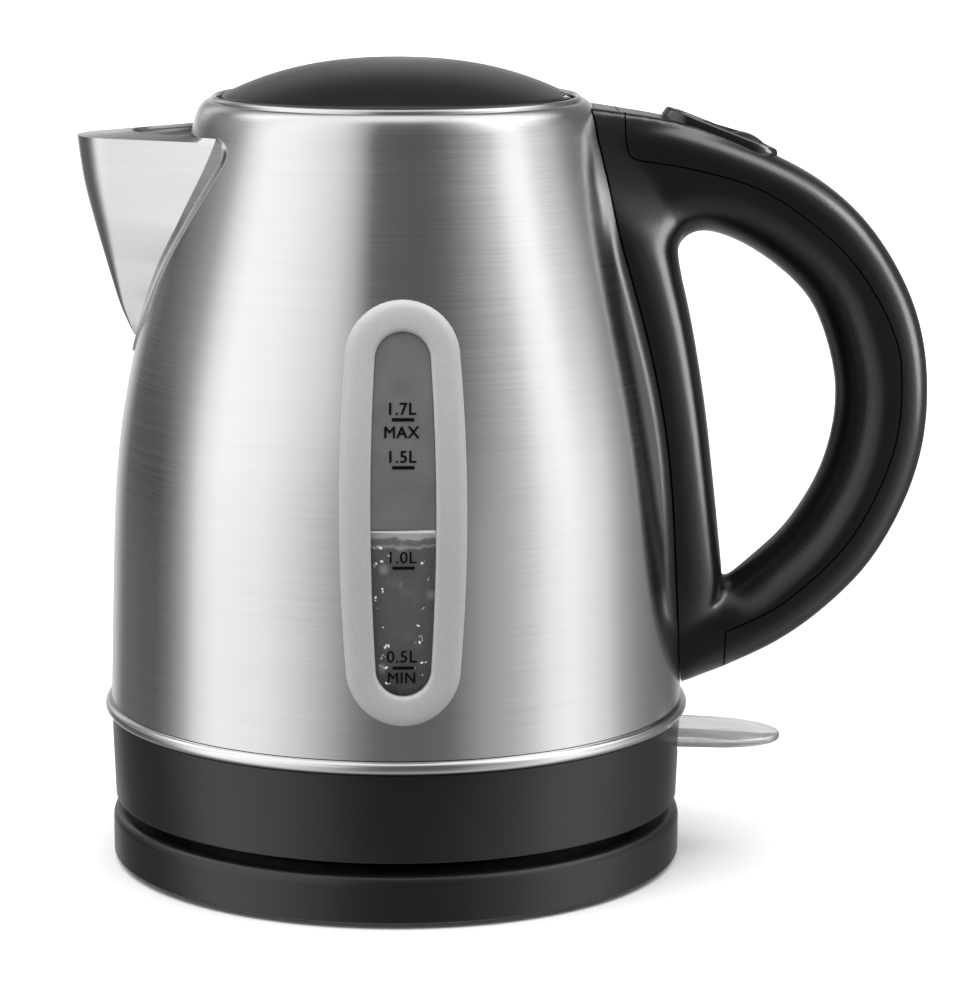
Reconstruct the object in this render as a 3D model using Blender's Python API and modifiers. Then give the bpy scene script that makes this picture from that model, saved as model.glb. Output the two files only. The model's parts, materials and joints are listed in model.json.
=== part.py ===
"""Cordless electric kettle, 1.7 litres: a brushed steel jug that lifts off a round power base.

The origin is on the jug's vertical axis, at the worktop. +X points to the handle, -X to the
spout and -Y to the water window. Sizes are in millimetres, and the helpers make them metres.
Run it with blender --background --python part.py, or from Blender's text editor.
"""

from math import cos, pi, radians, sin

import bmesh
import bpy
from mathutils import Matrix, Vector

MM = 0.001
GAP = 0.3  # left between two pieces that touch
WELD = 0.00001  # metres, joins the doubled points of a curve's caps
ROUND = 40  # steps in a large turned piece
SMALL_ROUND = 16  # steps in a small one

# Power base
BASE_R = 79.7
BASE_TOP_Z = 14.5
BASE_LOW_Z = 1.4
BASE_WALL = 2.0
FOOT_R = 6.0
FOOT_RING_R = 62.0
FOOT_HEIGHT = 1.0
LABEL_PAD_R = 14.0
LABEL_PAD_Z = 0.6
POST_R = 18.2
POST_TOP_Z = 27.0
COLLAR_R = 20.8

# Jug: the side is one cubic curve, given from the bottom up as (radius, height)
WALL = 1.0
JUG_LOW_Z = 45.9
SIDE = ((79.9, JUG_LOW_Z), (77.5, 120.6), (80.6, 119.7), (56.15, 202.7))
SIDE_STEPS = 6
LIP_R = 49.0
LIP_Z = 212.7
FLANGE_LOW_Z = 206.0
BEAD_R = 81.6

# Skirt under the jug
SKIRT_R = 79.7
SKIRT_LOW_R = 78.7
SKIRT_TOP_Z = 41.8
SKIRT_LOW_Z = 17.6
SKIRT_INNER_R = 76.7

# Water window on the -Y side
WINDOW_Z = 110.5
FRAME_HALF_W, FRAME_HALF_H = 16.4, 55.1
SLOT_HALF_W, SLOT_HALF_H = 9.4, 48.0

# Spout: its keel as (x, height), from the rim down
KEEL = ((-87.4, 203.7), (-85.7, 190.8), (-82.8, 178.7), (-79.7, 167.6), (-76.3, 156.5), (-73.4, 148.0))
SPOUT_SPREAD = 0.76  # half-width gained for each millimetre towards the jug
SPOUT_NOSE_R = 4.0

# Handle outlines as (x, height), joined by smooth curves
OUTER = ((50.0, 210.7), (62.0, 208.9), (76.0, 206.4), (90.0, 202.2), (105.0, 196.1), (118.0, 188.8),
         (129.3, 178.7), (138.5, 165.5), (144.7, 151.0), (147.4, 135.0), (146.7, 117.3), (141.8, 100.2),
         (132.5, 83.2), (120.0, 70.0), (106.5, 60.2), (91.2, 52.9))
SEAM = ((65.0, 196.5), (79.0, 194.1), (97.0, 189.0), (111.0, 180.6), (125.5, 167.1), (135.9, 149.5),
        (138.7, 134.8), (136.6, 114.6), (125.7, 91.4), (107.8, 73.6), (91.2, 65.0))
HOLE = ((83.7, 175.4), (77.6, 169.0), (81.4, 151.0), (85.3, 128.5), (88.1, 105.9), (89.6, 85.0),
        (91.3, 78.2), (98.6, 83.2), (110.0, 94.6), (119.2, 111.6), (122.2, 131.4), (117.3, 151.0),
        (109.4, 162.1), (96.0, 171.8))
SEAM_FRONT_X = 62.0
LOOP_HALF_W = 14.0
CHAMFER = 4.0
CASE_WALL = 2.5
PAD_THICK = 10.5
PAD = (  # the half-width of the pad that leans on the jug, and the height where it has it
    (17.0, 209.6), (20.0, 197.0), (21.5, 170.0), (22.0, 130.0), (20.0, 92.0), (14.0, 64.0), (8.0, 50.0),
)

# Lid and its hinge
LID_R = 46.5
LID_APEX_Z = 223.1
LID_EDGE_Z = 213.0
LID_LOW_Z = 206.6
HINGE = (46.6, 0.0, 210.6)
KNUCKLE_R = 2.2
PIN_R = 1.1

# Lid button: a pad set into the handle's sloping top
BUTTON_CENTRE = (89.0, 0.0, 202.4)
BUTTON_SLOPE = radians(19.4)
BEZEL_HALF_L, BEZEL_HALF_W = 17.0, 8.0
BUTTON_HALF_L, BUTTON_HALF_W = 13.0, 4.8

# Switch lever, through a slot at the back of the skirt
LEVER_PIN = (68.0, 0.0, 33.9)
LEVER_HALF_W = 14.0
LEVER_TIP_X = 108.5
LEVER_THICK = 3.0
LEVER_DROOP = radians(1.7)


# ---------------------------------------------------------------- scene and materials


def clear_scene():
    for thing in list(bpy.data.objects):
        bpy.data.objects.remove(thing, do_unlink=True)


def new_collection(name):
    group = bpy.data.collections.new(name)
    bpy.context.scene.collection.children.link(group)
    return group


clear_scene()
PARTS = new_collection("electric_kettle")
CUTTERS = new_collection("cutters")

# colour, roughness, metallic, alpha
FINISHES = {
    "brushed_steel": ((0.62, 0.62, 0.61), 0.3, 1.0, 1.0),
    "bright_steel": ((0.7, 0.7, 0.7), 0.15, 1.0, 1.0),
    "brass": ((0.72, 0.56, 0.28), 0.3, 1.0, 1.0),
    "aluminium": ((0.75, 0.75, 0.76), 0.35, 1.0, 1.0),
    "black_plastic": ((0.025, 0.025, 0.026), 0.45, 0.0, 1.0),
    "gloss_black": ((0.012, 0.012, 0.013), 0.12, 0.0, 1.0),
    "grey_plastic": ((0.35, 0.35, 0.35), 0.5, 0.0, 1.0),
    "milky_plastic": ((0.62, 0.63, 0.63), 0.4, 0.0, 1.0),
    "clear_plastic": ((0.85, 0.87, 0.88), 0.08, 0.0, 0.4),
    "silicone": ((0.75, 0.75, 0.72), 0.6, 0.0, 1.0),
    "rubber": ((0.03, 0.03, 0.03), 0.85, 0.0, 1.0),
}


def finish(name, kind):
    colour, roughness, metallic, alpha = FINISHES[kind]
    material = bpy.data.materials.new(name + "_" + kind)
    material.use_nodes = True
    shader = material.node_tree.nodes["Principled BSDF"]
    shader.inputs["Base Color"].default_value = (*colour, 1.0)
    shader.inputs["Roughness"].default_value = roughness
    shader.inputs["Metallic"].default_value = metallic
    shader.inputs["Alpha"].default_value = alpha
    return material


def place(name, mesh, kind, origin=(0.0, 0.0, 0.0), turn=None):
    """Put a mesh in the scene as a part, or as a cutter where kind is None."""
    thing = bpy.data.objects.new(name, mesh)
    thing.matrix_world = Matrix.Translation(Vector(origin) * MM) @ (turn or Matrix())
    if kind is None:
        CUTTERS.objects.link(thing)
        thing.hide_render = True
        thing.display_type = "WIRE"
    else:
        PARTS.objects.link(thing)
        mesh.materials.append(finish(name, kind))
    return thing


# ---------------------------------------------------------------- outlines


def offset_radius(points, by):
    return [(r + by, z) for r, z in points]


def side_points():
    """The jug's side from the top down, along its cubic curve."""
    points = []
    for step in range(SIDE_STEPS, -1, -1):
        t = step / SIDE_STEPS
        share = ((1 - t) ** 3, 3 * t * (1 - t) ** 2, 3 * t * t * (1 - t), t**3)
        points.append(tuple(sum(s * p[axis] for s, p in zip(share, SIDE)) for axis in (0, 1)))
    return points


def side_radius(height):
    """The jug's outer radius at a height, between two points of its side."""
    points = side_points()
    for (r1, z1), (r2, z2) in zip(points, points[1:]):
        if z2 <= height <= z1:
            return r1 + (r2 - r1) * (z1 - height) / (z1 - z2)
    return points[-1][0]


def smooth_path(points, per_span=2, closed=False):
    """A Catmull-Rom curve through the points."""
    count = len(points)
    spans = count if closed else count - 1
    path = []
    for span in range(spans):
        if closed:
            near = [points[(span + k) % count] for k in (-1, 0, 1, 2)]
        else:
            near = [points[min(max(span + k, 0), count - 1)] for k in (-1, 0, 1, 2)]
        a, b, c, d = (Vector(p) for p in near)
        for step in range(per_span):
            t = step / per_span
            path.append(
                b + 0.5 * ((c - a) * t + (2 * a - 5 * b + 4 * c - d) * t**2 + (3 * b - a - 3 * c + d) * t**3)
            )
    if not closed:
        path.append(Vector(points[-1]))
    return [tuple(p) for p in path]


def offset_path(points, by, closed=False):
    """Move each point of a path by a distance to its right."""
    last = len(points) - 1
    moved = []
    for index, point in enumerate(points):
        before = Vector(points[index - 1 if closed else max(index - 1, 0)])
        after = Vector(points[(index + 1) % (last + 1) if closed else min(index + 1, last)])
        along = (after - before).normalized()
        moved.append((point[0] + along.y * by, point[1] - along.x * by))
    return moved


def racetrack(half_width, half_height, centre=(0.0, 0.0), end_steps=6):
    """An upright slot outline with round ends."""
    points = []
    straight = half_height - half_width
    for side, start in ((1, 0.0), (-1, pi)):
        for step in range(end_steps + 1):
            angle = start + pi * step / end_steps
            points.append(
                (centre[0] + half_width * cos(angle), centre[1] + side * straight + half_width * sin(angle))
            )
    return points


# ---------------------------------------------------------------- solids


def turned(name, kind, profile, steps=ROUND, origin=(0.0, 0.0, 0.0), turn=None):
    """Turn a profile of (radius, height) points, listed down its outer side, about Z."""
    mesh = bpy.data.meshes.new(name)
    on_axis = profile[0][0] == 0.0
    last = len(profile) - 1
    edges = [(i, i + 1) for i in range(last)] + ([] if on_axis else [(last, 0)])
    mesh.from_pydata([(r * MM, 0.0, z * MM) for r, z in profile], edges, [])
    thing = place(name, mesh, kind, origin, turn)
    screw = thing.modifiers.new("turn", "SCREW")
    screw.steps = screw.render_steps = steps
    screw.use_merge_vertices = True
    screw.merge_threshold = WELD
    screw.use_smooth_shade = True
    return thing


def ring(name, kind, inner, outer, low, high, **where):
    """A washer, a tube, or a disc where the inner radius is 0."""
    return turned(name, kind, [(inner, high), (outer, high), (outer, low), (inner, low)], **where)


def prism(name, kind, loops, low, high, up="Z"):
    """Extrude flat outlines (a hole is a further loop) along Z, Y or X."""
    curve = bpy.data.curves.new(name + "_outline", "CURVE")
    curve.dimensions = "2D"
    curve.fill_mode = "BOTH"
    curve.extrude = (high - low) / 2 * MM
    for loop in loops:
        spline = curve.splines.new("POLY")
        spline.points.add(len(loop) - 1)
        for point, (a, b) in zip(spline.points, loop):
            point.co = (a * MM, b * MM, 0.0, 1.0)
        spline.use_cyclic_u = True
    flat = bpy.data.objects.new(name + "_outline", curve)
    CUTTERS.objects.link(flat)
    bpy.context.view_layer.update()
    mesh = bpy.data.meshes.new_from_object(flat.evaluated_get(bpy.context.evaluated_depsgraph_get()))
    mesh.name = name
    mesh.materials.clear()
    bpy.data.objects.remove(flat)
    turns = {
        "Z": Matrix(),
        "Y": Matrix.Rotation(pi / 2, 4, "X"),  # outline (x, z), thickness along Y
        "X": Matrix(((0, 0, 1, 0), (1, 0, 0, 0), (0, 1, 0, 0), (0, 0, 0, 1))),  # outline (y, z)
    }
    along = {"Z": (0, 0, 1), "Y": (0, -1, 0), "X": (1, 0, 0)}[up]
    middle = (low + high) / 2 * (-1 if up == "Y" else 1)
    mesh.transform(Matrix.Translation(Vector(along) * middle * MM) @ turns[up])
    shape = bmesh.new()
    shape.from_mesh(mesh)
    bmesh.ops.remove_doubles(shape, verts=shape.verts, dist=WELD)
    bmesh.ops.dissolve_limit(shape, angle_limit=0.001, verts=shape.verts, edges=shape.edges)
    bmesh.ops.recalc_face_normals(shape, faces=shape.faces)
    shape.to_mesh(mesh)
    shape.free()
    return place(name, mesh, kind)


def box(name, kind, x, y, z):
    """A block between two x, two y and two z values."""
    mesh = bpy.data.meshes.new(name)
    shape = bmesh.new()
    bmesh.ops.create_cube(shape, size=1.0)
    size = Matrix.Diagonal(((x[1] - x[0]) * MM, (y[1] - y[0]) * MM, (z[1] - z[0]) * MM, 1.0))
    middle = Vector((sum(x), sum(y), sum(z))) / 2 * MM
    bmesh.ops.transform(shape, verts=shape.verts, matrix=Matrix.Translation(middle) @ size)
    shape.to_mesh(mesh)
    shape.free()
    return place(name, mesh, kind)


def rod(name, kind, radius, start, end, steps=SMALL_ROUND):
    """A cylinder between two points."""
    start, end = Vector(start), Vector(end)
    mesh = bpy.data.meshes.new(name)
    shape = bmesh.new()
    length = (end - start).length
    bmesh.ops.create_cone(
        shape, cap_ends=True, segments=steps, radius1=radius * MM, radius2=radius * MM, depth=length * MM
    )
    shape.to_mesh(mesh)
    shape.free()
    turn = (end - start).to_track_quat("Z", "Y").to_matrix().to_4x4()
    return place(name, mesh, kind, (start + end) / 2, turn)


def wire(name, kind, radius, points, sides=4):
    """A round wire through points, with closed ends."""
    curve = bpy.data.curves.new(name, "CURVE")
    curve.dimensions = "3D"
    curve.bevel_depth = radius * MM
    curve.bevel_resolution = sides // 2 - 2
    curve.use_fill_caps = True
    spline = curve.splines.new("POLY")
    spline.points.add(len(points) - 1)
    for point, at in zip(spline.points, points):
        point.co = (*(Vector(at) * MM), 1.0)
    curve.materials.append(finish(name, kind))
    thing = bpy.data.objects.new(name, curve)
    PARTS.objects.link(thing)
    return thing


def coil(centre, along, radius, length, turns, per_turn=8):
    """Points of a helix about an axis, in millimetres."""
    frame = Vector(along).to_track_quat("Z", "Y").to_matrix()
    points = []
    for step in range(turns * per_turn + 1):
        angle = 2 * pi * step / per_turn
        rise = length * (step / (turns * per_turn) - 0.5)
        points.append(Vector(centre) + frame @ Vector((radius * cos(angle), radius * sin(angle), rise)))
    return points


def combine(thing, other, how):
    boolean = thing.modifiers.new(other.name, "BOOLEAN")
    boolean.operation = how
    boolean.solver = "EXACT"
    boolean.object = other
    return thing


def cut(thing, *cutters):
    for cutter in cutters:
        combine(thing, cutter, "DIFFERENCE")
    return thing


def join(thing, *others):
    for other in others:
        combine(thing, other, "UNION")
    return thing


def screw(name, kind, at, head_r, shank_r, head, length):
    """A pan head below a shank that points up."""
    top = head + length
    profile = [(0.0, top), (shank_r, top), (shank_r, head), (head_r, head), (head_r, 0.0), (0.0, 0.0)]
    return turned(name, kind, profile, SMALL_ROUND - 4, at)


def chamfered_prism(name, kind, outline):
    """A prism along Y with chamfered sides: outline(inset) gives its points at an inset."""
    low, high = LOOP_HALF_W - CHAMFER, LOOP_HALF_W
    rings = [(-high, CHAMFER), (-low, 0.0), (low, 0.0), (high, CHAMFER)]
    rows = [[(x * MM, y * MM, z * MM) for x, z in outline(inset)] for y, inset in rings]
    count = len(rows[0])
    faces = [tuple(range(count)), tuple(reversed(range(count * (len(rows) - 1), count * len(rows))))]
    for r in range(len(rows) - 1):
        for c in range(count):
            a, b = r * count + c, r * count + (c + 1) % count
            faces.append((b, a, a + count, b + count))
    mesh = bpy.data.meshes.new(name)
    mesh.from_pydata([p for row in rows for p in row], [], faces)
    shape = bmesh.new()
    shape.from_mesh(mesh)
    bmesh.ops.recalc_face_normals(shape, faces=shape.faces)
    shape.to_mesh(mesh)
    shape.free()
    return place(name, mesh, kind)


# ---------------------------------------------------------------- solids that follow the jug


def jug_envelope(name, by):
    """The jug's outside as one solid, grown by a distance: it cuts what leans on the jug."""
    top = [(0.0, LIP_Z + by), (52.4 + by, LIP_Z - 0.3 + by), (54.3 + by, 209.6), (55.4 + by, 206.2)]
    bottom = [(SIDE[0][0] + by, 20.0), (0.0, 20.0)]
    return turned(name, None, top + offset_radius(side_points(), by) + bottom)


def jug_layer(name, kind, inner, outer):
    """A thin shell that follows the jug's side, between two distances from it."""
    side = side_points()
    return turned(name, kind, offset_radius(side, outer) + offset_radius(side[::-1], inner))


# ---------------------------------------------------------------- power base


def make_base():
    cover = turned(
        "base_cover",
        "black_plastic",
        [
            (POST_R + GAP, BASE_TOP_Z), (77.8, BASE_TOP_Z), (78.9, 14.0), (79.5, 12.6), (BASE_R, 10.5),
            (BASE_R, BASE_LOW_Z), (BASE_R - BASE_WALL, BASE_LOW_Z), (BASE_R - BASE_WALL, 10.3),
            (76.0, BASE_TOP_Z - BASE_WALL), (POST_R + GAP, BASE_TOP_Z - BASE_WALL),
        ],
    )
    cut(cover, box("inlet_slot", None, (-4.6, 4.6), (70.0, 90.0), (3.6, 10.4)))
    plate = ring("base_plate", "black_plastic", 0.0, BASE_R - BASE_WALL - GAP, BASE_LOW_Z, 3.2)
    join(plate, ring("label_pad", None, 0.0, LABEL_PAD_R, LABEL_PAD_Z, 2.0))
    for number in range(1, 5):
        angle = radians(90 * number - 45)
        at = (FOOT_RING_R * cos(angle), FOOT_RING_R * sin(angle), 0.0)
        ring(f"foot_{number}", "rubber", 0.0, FOOT_R, 0.0, FOOT_HEIGHT, steps=SMALL_ROUND, origin=at)
    for number in range(1, 3):
        angle = radians(180 * number)
        x, y = 40.0 * cos(angle), 40.0 * sin(angle)
        screw(f"base_screw_{number}", "bright_steel", (x, y, 0.3), 3.2, 1.5, 0.8, 8.0)
        cut(plate, rod(f"base_screw_hole_{number}", None, 1.9, (x, y, 0.0), (x, y, 6.0)))
    inlet = box("cord_inlet", "black_plastic", (-4.2, 4.2), (66.0, 79.0), (4.0, 10.0))
    cut(inlet, rod("inlet_bore", None, 2.4, (0.0, 60.0, 7.0), (0.0, 90.0, 7.0)))


def make_connector():
    """The round post that feeds the jug, with its three contacts and the collar on it."""
    turned(
        "connector_post",
        "black_plastic",
        [
            (4.2, POST_TOP_Z), (7.4, POST_TOP_Z), (7.4, 9.0), (10.2, 9.0), (10.2, POST_TOP_Z),
            (12.8, POST_TOP_Z), (12.8, 9.0), (15.4, 9.0), (15.4, POST_TOP_Z), (POST_R - 0.6, POST_TOP_Z),
            (POST_R, POST_TOP_Z - 0.6), (POST_R, 12.1), (23.0, 12.1), (23.0, 6.0), (4.2, 6.0),
        ],
        steps=ROUND // 2,
    )
    ring("line_contact", "brass", 3.0, 3.8, 6.4, 20.0, steps=SMALL_ROUND)
    ring("neutral_contact", "brass", 7.8, 8.3, 9.4, 20.0, steps=ROUND // 2)
    ring("earth_contact", "brass", 14.4, 15.0, 9.4, 20.0, steps=ROUND // 2)
    ring("turning_collar", "grey_plastic", POST_R + GAP, COLLAR_R, BASE_TOP_Z + GAP, 22.0)


# ---------------------------------------------------------------- jug


def make_jug():
    side = side_points()
    inner = offset_radius(side, -WALL)[::-1]
    shell = turned(
        "jug_shell",
        "brushed_steel",
        [(LIP_R, LIP_Z), (52.4, LIP_Z - 0.3), (54.3, 209.6), (55.4, 206.2)]
        + side
        + inner
        + [(54.4, 206.0), (53.4, 209.2), (51.9, 211.4), (LIP_R + WALL, 211.7)]
        + [(LIP_R + WALL, FLANGE_LOW_Z), (LIP_R, FLANGE_LOW_Z)],
    )
    slot = racetrack(SLOT_HALF_W, SLOT_HALF_H, (0.0, WINDOW_Z))
    cut(shell, prism("window_slot", None, [slot], -100.0, -40.0, "Y"))
    mouth = [(-24.0, 203.0), (24.0, 203.0), (0.0, 160.0)]
    cut(shell, prism("spout_opening", None, [mouth], -95.0, -35.0, "X"))
    cut(shell, box("hinge_notch", None, (43.0, 50.5), (-13.6, 13.6), (204.4, 214.0)))
    cut(shell, slanted("latch_window", None, (-41.0, -28.0), (-3.5, 3.5), (-9.2, -6.0)))
    turned(
        "trim_ring",
        "bright_steel",
        [
            (77.4, 45.6), (80.7, 45.6), (81.4, 44.9), (BEAD_R, 43.9), (81.4, 42.8), (80.7, 42.1),
            (77.4, 42.1),
        ],
    )
    make_spout()
    make_filter()


def make_spout():
    """A V of sheet steel with a rounded keel, lofted down its keel and trimmed to the jug."""
    nose_steps = 6
    lean = pi / 2 - 0.65
    reach = 46.0
    rows = []
    for x, z in KEEL:
        half = [(reach, reach * SPOUT_SPREAD)]
        for step in range(nose_steps // 2 + 1):
            angle = lean * (1 - 2 * step / nose_steps)
            half.append((SPOUT_NOSE_R * (1 - cos(angle)), SPOUT_NOSE_R * sin(angle)))
        row = half + [(a, -b) for a, b in half[-2::-1]]
        rows.append([((x + a) * MM, b * MM, z * MM) for a, b in row])
    width = len(rows[0])
    points = [p for row in rows for p in row]
    faces = []
    for r in range(len(rows) - 1):
        for c in range(width - 1):
            a = r * width + c
            faces.append((a, a + 1, a + width + 1, a + width))
    mesh = bpy.data.meshes.new("spout")
    mesh.from_pydata(points, [], faces)
    spout = place("spout", mesh, "brushed_steel")
    sheet = spout.modifiers.new("sheet", "SOLIDIFY")
    sheet.thickness = WALL * MM
    sheet.offset = 1.0
    cut(spout, jug_envelope("spout_trim", GAP))


def make_filter():
    """A mesh in a frame, inside the jug behind the spout."""
    top, low = (-46.5, 203.0), (-64.6, 157.0)
    height = (Vector(top) - Vector(low)).length
    outer = [(-24.0, height), (24.0, height), (3.0, 0.0), (-3.0, 0.0)]
    inner = [(-19.0, height - 3.0), (19.0, height - 3.0), (1.4, 5.0), (-1.4, 5.0)]
    screen = [(a * 0.98, b * 0.98 + 0.4) for a, b in inner]
    lean = Matrix.Rotation(-((Vector(top) - Vector(low)).angle_signed(Vector((0.0, 1.0)))), 4, "Y")
    frame = prism("filter_frame", "grey_plastic", [outer, inner], -0.8, 0.8, "X")
    mesh = prism("filter_mesh", "bright_steel", [screen], -0.3, 0.3, "X")
    for thing in (frame, mesh):
        thing.matrix_world = Matrix.Translation(Vector((low[0], 0.0, low[1])) * MM) @ lean


def window_piece(name, kind, outer, inner, near, far):
    """A racetrack piece that follows the jug's side, between two distances from it."""
    loops = [racetrack(*outer, (0.0, WINDOW_Z))]
    if inner:
        loops.append(racetrack(*inner, (0.0, WINDOW_Z)))
    piece = prism(name, kind, loops, -95.0, -50.0, "Y")
    return combine(piece, jug_layer(name + "_layer", None, near, far), "INTERSECT")


def make_window():
    lens = (SLOT_HALF_W - GAP, SLOT_HALF_H - GAP)
    hole = (SLOT_HALF_W, SLOT_HALF_H)
    window_piece("window_lens", "clear_plastic", lens, None, -5.6, 1.0)
    window_piece("window_frame", "milky_plastic", (FRAME_HALF_W, FRAME_HALF_H), hole, GAP, 2.2)
    window_piece("window_seal", "silicone", (14.0, 52.8), hole, -WALL - GAP - 1.6, -WALL - GAP)
    window_piece("window_clamp", "grey_plastic", (15.0, 53.8), hole, -5.2, -WALL - 2 * GAP - 1.6)


# ---------------------------------------------------------------- under the jug


def make_heating():
    plate = ring("heating_plate", "bright_steel", 0.0, 75.6, 46.8, 48.0)
    cut(plate, rod("steam_tube_hole", None, 4.4, (52.0, 0.0, 40.0), (52.0, 0.0, 50.0)))
    ring("plate_seal", "silicone", 75.9, 78.5, 46.2, 49.0)
    sweep = [radians(35 + 290 * step / 24) for step in range(25)]
    wire("heating_element", "aluminium", 3.2, [(40.0 * cos(a), 40.0 * sin(a), 43.2) for a in sweep], 8)
    for number, angle in ((1, sweep[0]), (2, sweep[-1])):
        x, y = 40.0 * cos(angle), 40.0 * sin(angle)
        rod(f"element_terminal_{number}", "bright_steel", 1.6, (x, y, 33.0), (x, y, 39.6), 12)
    ring("steam_tube", "grey_plastic", 2.8, 4.0, 38.4, 196.0, steps=SMALL_ROUND, origin=(52.0, 0.0, 0.0))


def make_control():
    """The thermostat over the base's post, with the contacts that hang into it."""
    ring("control_body", "black_plastic", 0.0, 26.0, 31.8, 39.5, steps=ROUND // 2)
    turned(
        "connector_socket",
        "black_plastic",
        [
            (0.0, 31.5), (24.2, 31.5), (24.2, 22.4), (30.0, 22.4), (30.0, 20.3), (24.2, 20.3), (24.2, 14.9),
            (COLLAR_R + GAP, 14.9), (COLLAR_R + GAP, 29.6), (0.0, 29.6),
        ],
    )
    ring("line_pin", "brass", 0.0, 2.4, 12.0, 29.3, steps=SMALL_ROUND)
    ring("neutral_ring", "brass", 8.8, 9.5, 14.0, 29.3, steps=ROUND // 2)
    ring("earth_ring", "brass", 13.3, 14.0, 14.0, 29.3, steps=ROUND // 2)


def make_skirt():
    slot_y = (-LEVER_HALF_W - 0.8, LEVER_HALF_W + 0.8)
    skirt = turned(
        "skirt",
        "black_plastic",
        [
            (SKIRT_INNER_R, SKIRT_TOP_Z), (SKIRT_R, SKIRT_TOP_Z), (SKIRT_LOW_R + 0.3, 18.9),
            (SKIRT_LOW_R - 0.4, SKIRT_LOW_Z), (SKIRT_INNER_R, SKIRT_LOW_Z),
        ],
    )
    cut(skirt, box("lever_slot", None, (70.0, 85.0), slot_y, (29.4, 37.0)))
    bottom = turned(
        "skirt_bottom",
        "black_plastic",
        [
            (24.5, 20.0), (SKIRT_INNER_R - GAP, 20.0), (SKIRT_INNER_R - GAP, 17.8), (70.0, 17.8),
            (69.0, BASE_TOP_Z + GAP), (56.0, BASE_TOP_Z + GAP), (55.0, 17.8), (24.5, 17.8),
        ],
    )
    for number in range(1, 3):
        angle = radians(180 * number + 90)
        x, y = 42.0 * cos(angle), 42.0 * sin(angle)
        screw(f"bottom_screw_{number}", "bright_steel", (x, y, 16.6), 3.0, 1.5, 0.9, 10.0)
        cut(bottom, rod(f"bottom_screw_hole_{number}", None, 1.9, (x, y, 15.0), (x, y, 22.0)))


def make_switch():
    """The boil-off switch: a frame, its steam disc, and the clear lever outside."""
    x, _, z = LEVER_PIN
    ear_low, ear_high = LEVER_HALF_W + 0.5, LEVER_HALF_W + 3.0
    frame = box("switch_frame", "grey_plastic", (47.0, 58.0), (-ear_high, ear_high), (22.7, 38.0))
    for number, side in ((1, 1), (2, -1)):
        y = sorted((side * ear_low, side * ear_high))
        join(frame, box(f"switch_ear_{number}", None, (57.0, x + 3.0), y, (30.0, 37.5)))
    reach = ear_high + 5.0
    cut(frame, rod("lever_pin_bore", None, 1.5, (x, -reach, z), (x, reach, z)))
    rod("lever_pin", "bright_steel", 1.15, (x, -ear_high, z), (x, ear_high, z), 16)
    rod("bimetal_disc", "brass", 8.0, (58.4, 0.0, 30.5), (59.0, 0.0, 30.5))
    half_turn = [radians(degrees) for degrees in range(-90, 91, 15)]
    tip = [(LEVER_TIP_X - 20.0 * (1 - cos(a)), LEVER_HALF_W * sin(a)) for a in half_turn]
    outline = [(x - 1.0, -LEVER_HALF_W)] + tip + [(x - 1.0, LEVER_HALF_W)]
    lever = prism("switch_lever", "clear_plastic", [outline], z - LEVER_THICK / 2, z + LEVER_THICK / 2)
    beyond = LEVER_TIP_X + 2.0
    wedge = [(x + 4.0, z + 2.0), (beyond, z + 2.0), (beyond, z + 0.8), (x + 14.0, z + LEVER_THICK / 2)]
    slope = prism("lever_top_slope", None, [wedge], -20.0, 20.0, "Y")
    pin = Matrix.Translation(Vector(LEVER_PIN) * MM)
    for thing in (lever, slope):  # the tongue droops to its tip
        thing.matrix_world = pin @ Matrix.Rotation(LEVER_DROOP, 4, "Y") @ pin.inverted()
    cut(lever, slope)
    join(lever, rod("lever_knuckle", None, 3.0, (x, -LEVER_HALF_W, z), (x, LEVER_HALF_W, z)))
    cut(lever, rod("lever_bore", None, 1.5, (x, -reach, z), (x, reach, z), 16))
    rod("indicator_lamp", "clear_plastic", 1.8, (70.0, -4.0, 26.0), (70.0, 4.0, 26.0), 12)


# ---------------------------------------------------------------- handle


def slanted(name, kind, along, across, up):
    """A block in the sloping frame of the lid button: along the slope, across it, and up from it."""
    piece = box(name, kind, along, across, up)
    piece.matrix_world = button_frame()
    return piece


def button_frame():
    return Matrix.Translation(Vector(BUTTON_CENTRE) * MM) @ Matrix.Rotation(BUTTON_SLOPE, 4, "Y")


def make_handle_frame():
    seam = offset_path(smooth_path(SEAM), GAP / 2)
    top = [(46.0, 210.9), (SEAM_FRONT_X - GAP / 2, 208.9), (SEAM_FRONT_X - GAP / 2, 200.0)]
    tail = [(91.0, 52.8), (80.0, 48.7), (60.0, 48.0)]
    frame = prism("handle_frame", "black_plastic", [top + seam + tail], -LOOP_HALF_W, LOOP_HALF_W, "Y")
    hole = smooth_path(HOLE, closed=True)
    pad = prism("handle_pad", None, [PAD + tuple((-y, z) for y, z in PAD[::-1])], 40.0, 100.0, "X")
    combine(pad, jug_layer("pad_layer", None, -5.0, PAD_THICK), "INTERSECT")
    join(frame, pad)
    beyond = [(91.0, 30.0), (200.0, 30.0), (200.0, 230.0), (SEAM_FRONT_X - GAP / 2, 230.0)]
    cut(frame, prism("cover_space", None, [beyond + top[2:] + seam], -30.0, 30.0, "Y"))
    hollow = offset_path(smooth_path(HOLE[7:]), CASE_WALL)
    seam_side = offset_path(smooth_path(SEAM[1:-1]), -3.0)
    cavity = [p for p in hollow if p[0] > 96.0] + [p for p in seam_side if p[0] > 90.0]
    inside = LOOP_HALF_W - CASE_WALL
    rim = chamfered_prism("finger_hole", None, lambda inset: offset_path(hole, inset - 0.01, closed=True))
    cut(frame, rim, prism("frame_hollow", None, [cavity], -inside, inside, "Y"))
    cut(frame, jug_envelope("handle_trim", GAP))
    cut(frame, slanted("latch_channel", None, (-45.0, -20.0), (-3.4, 3.4), (-9.0, -6.2)))


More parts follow.
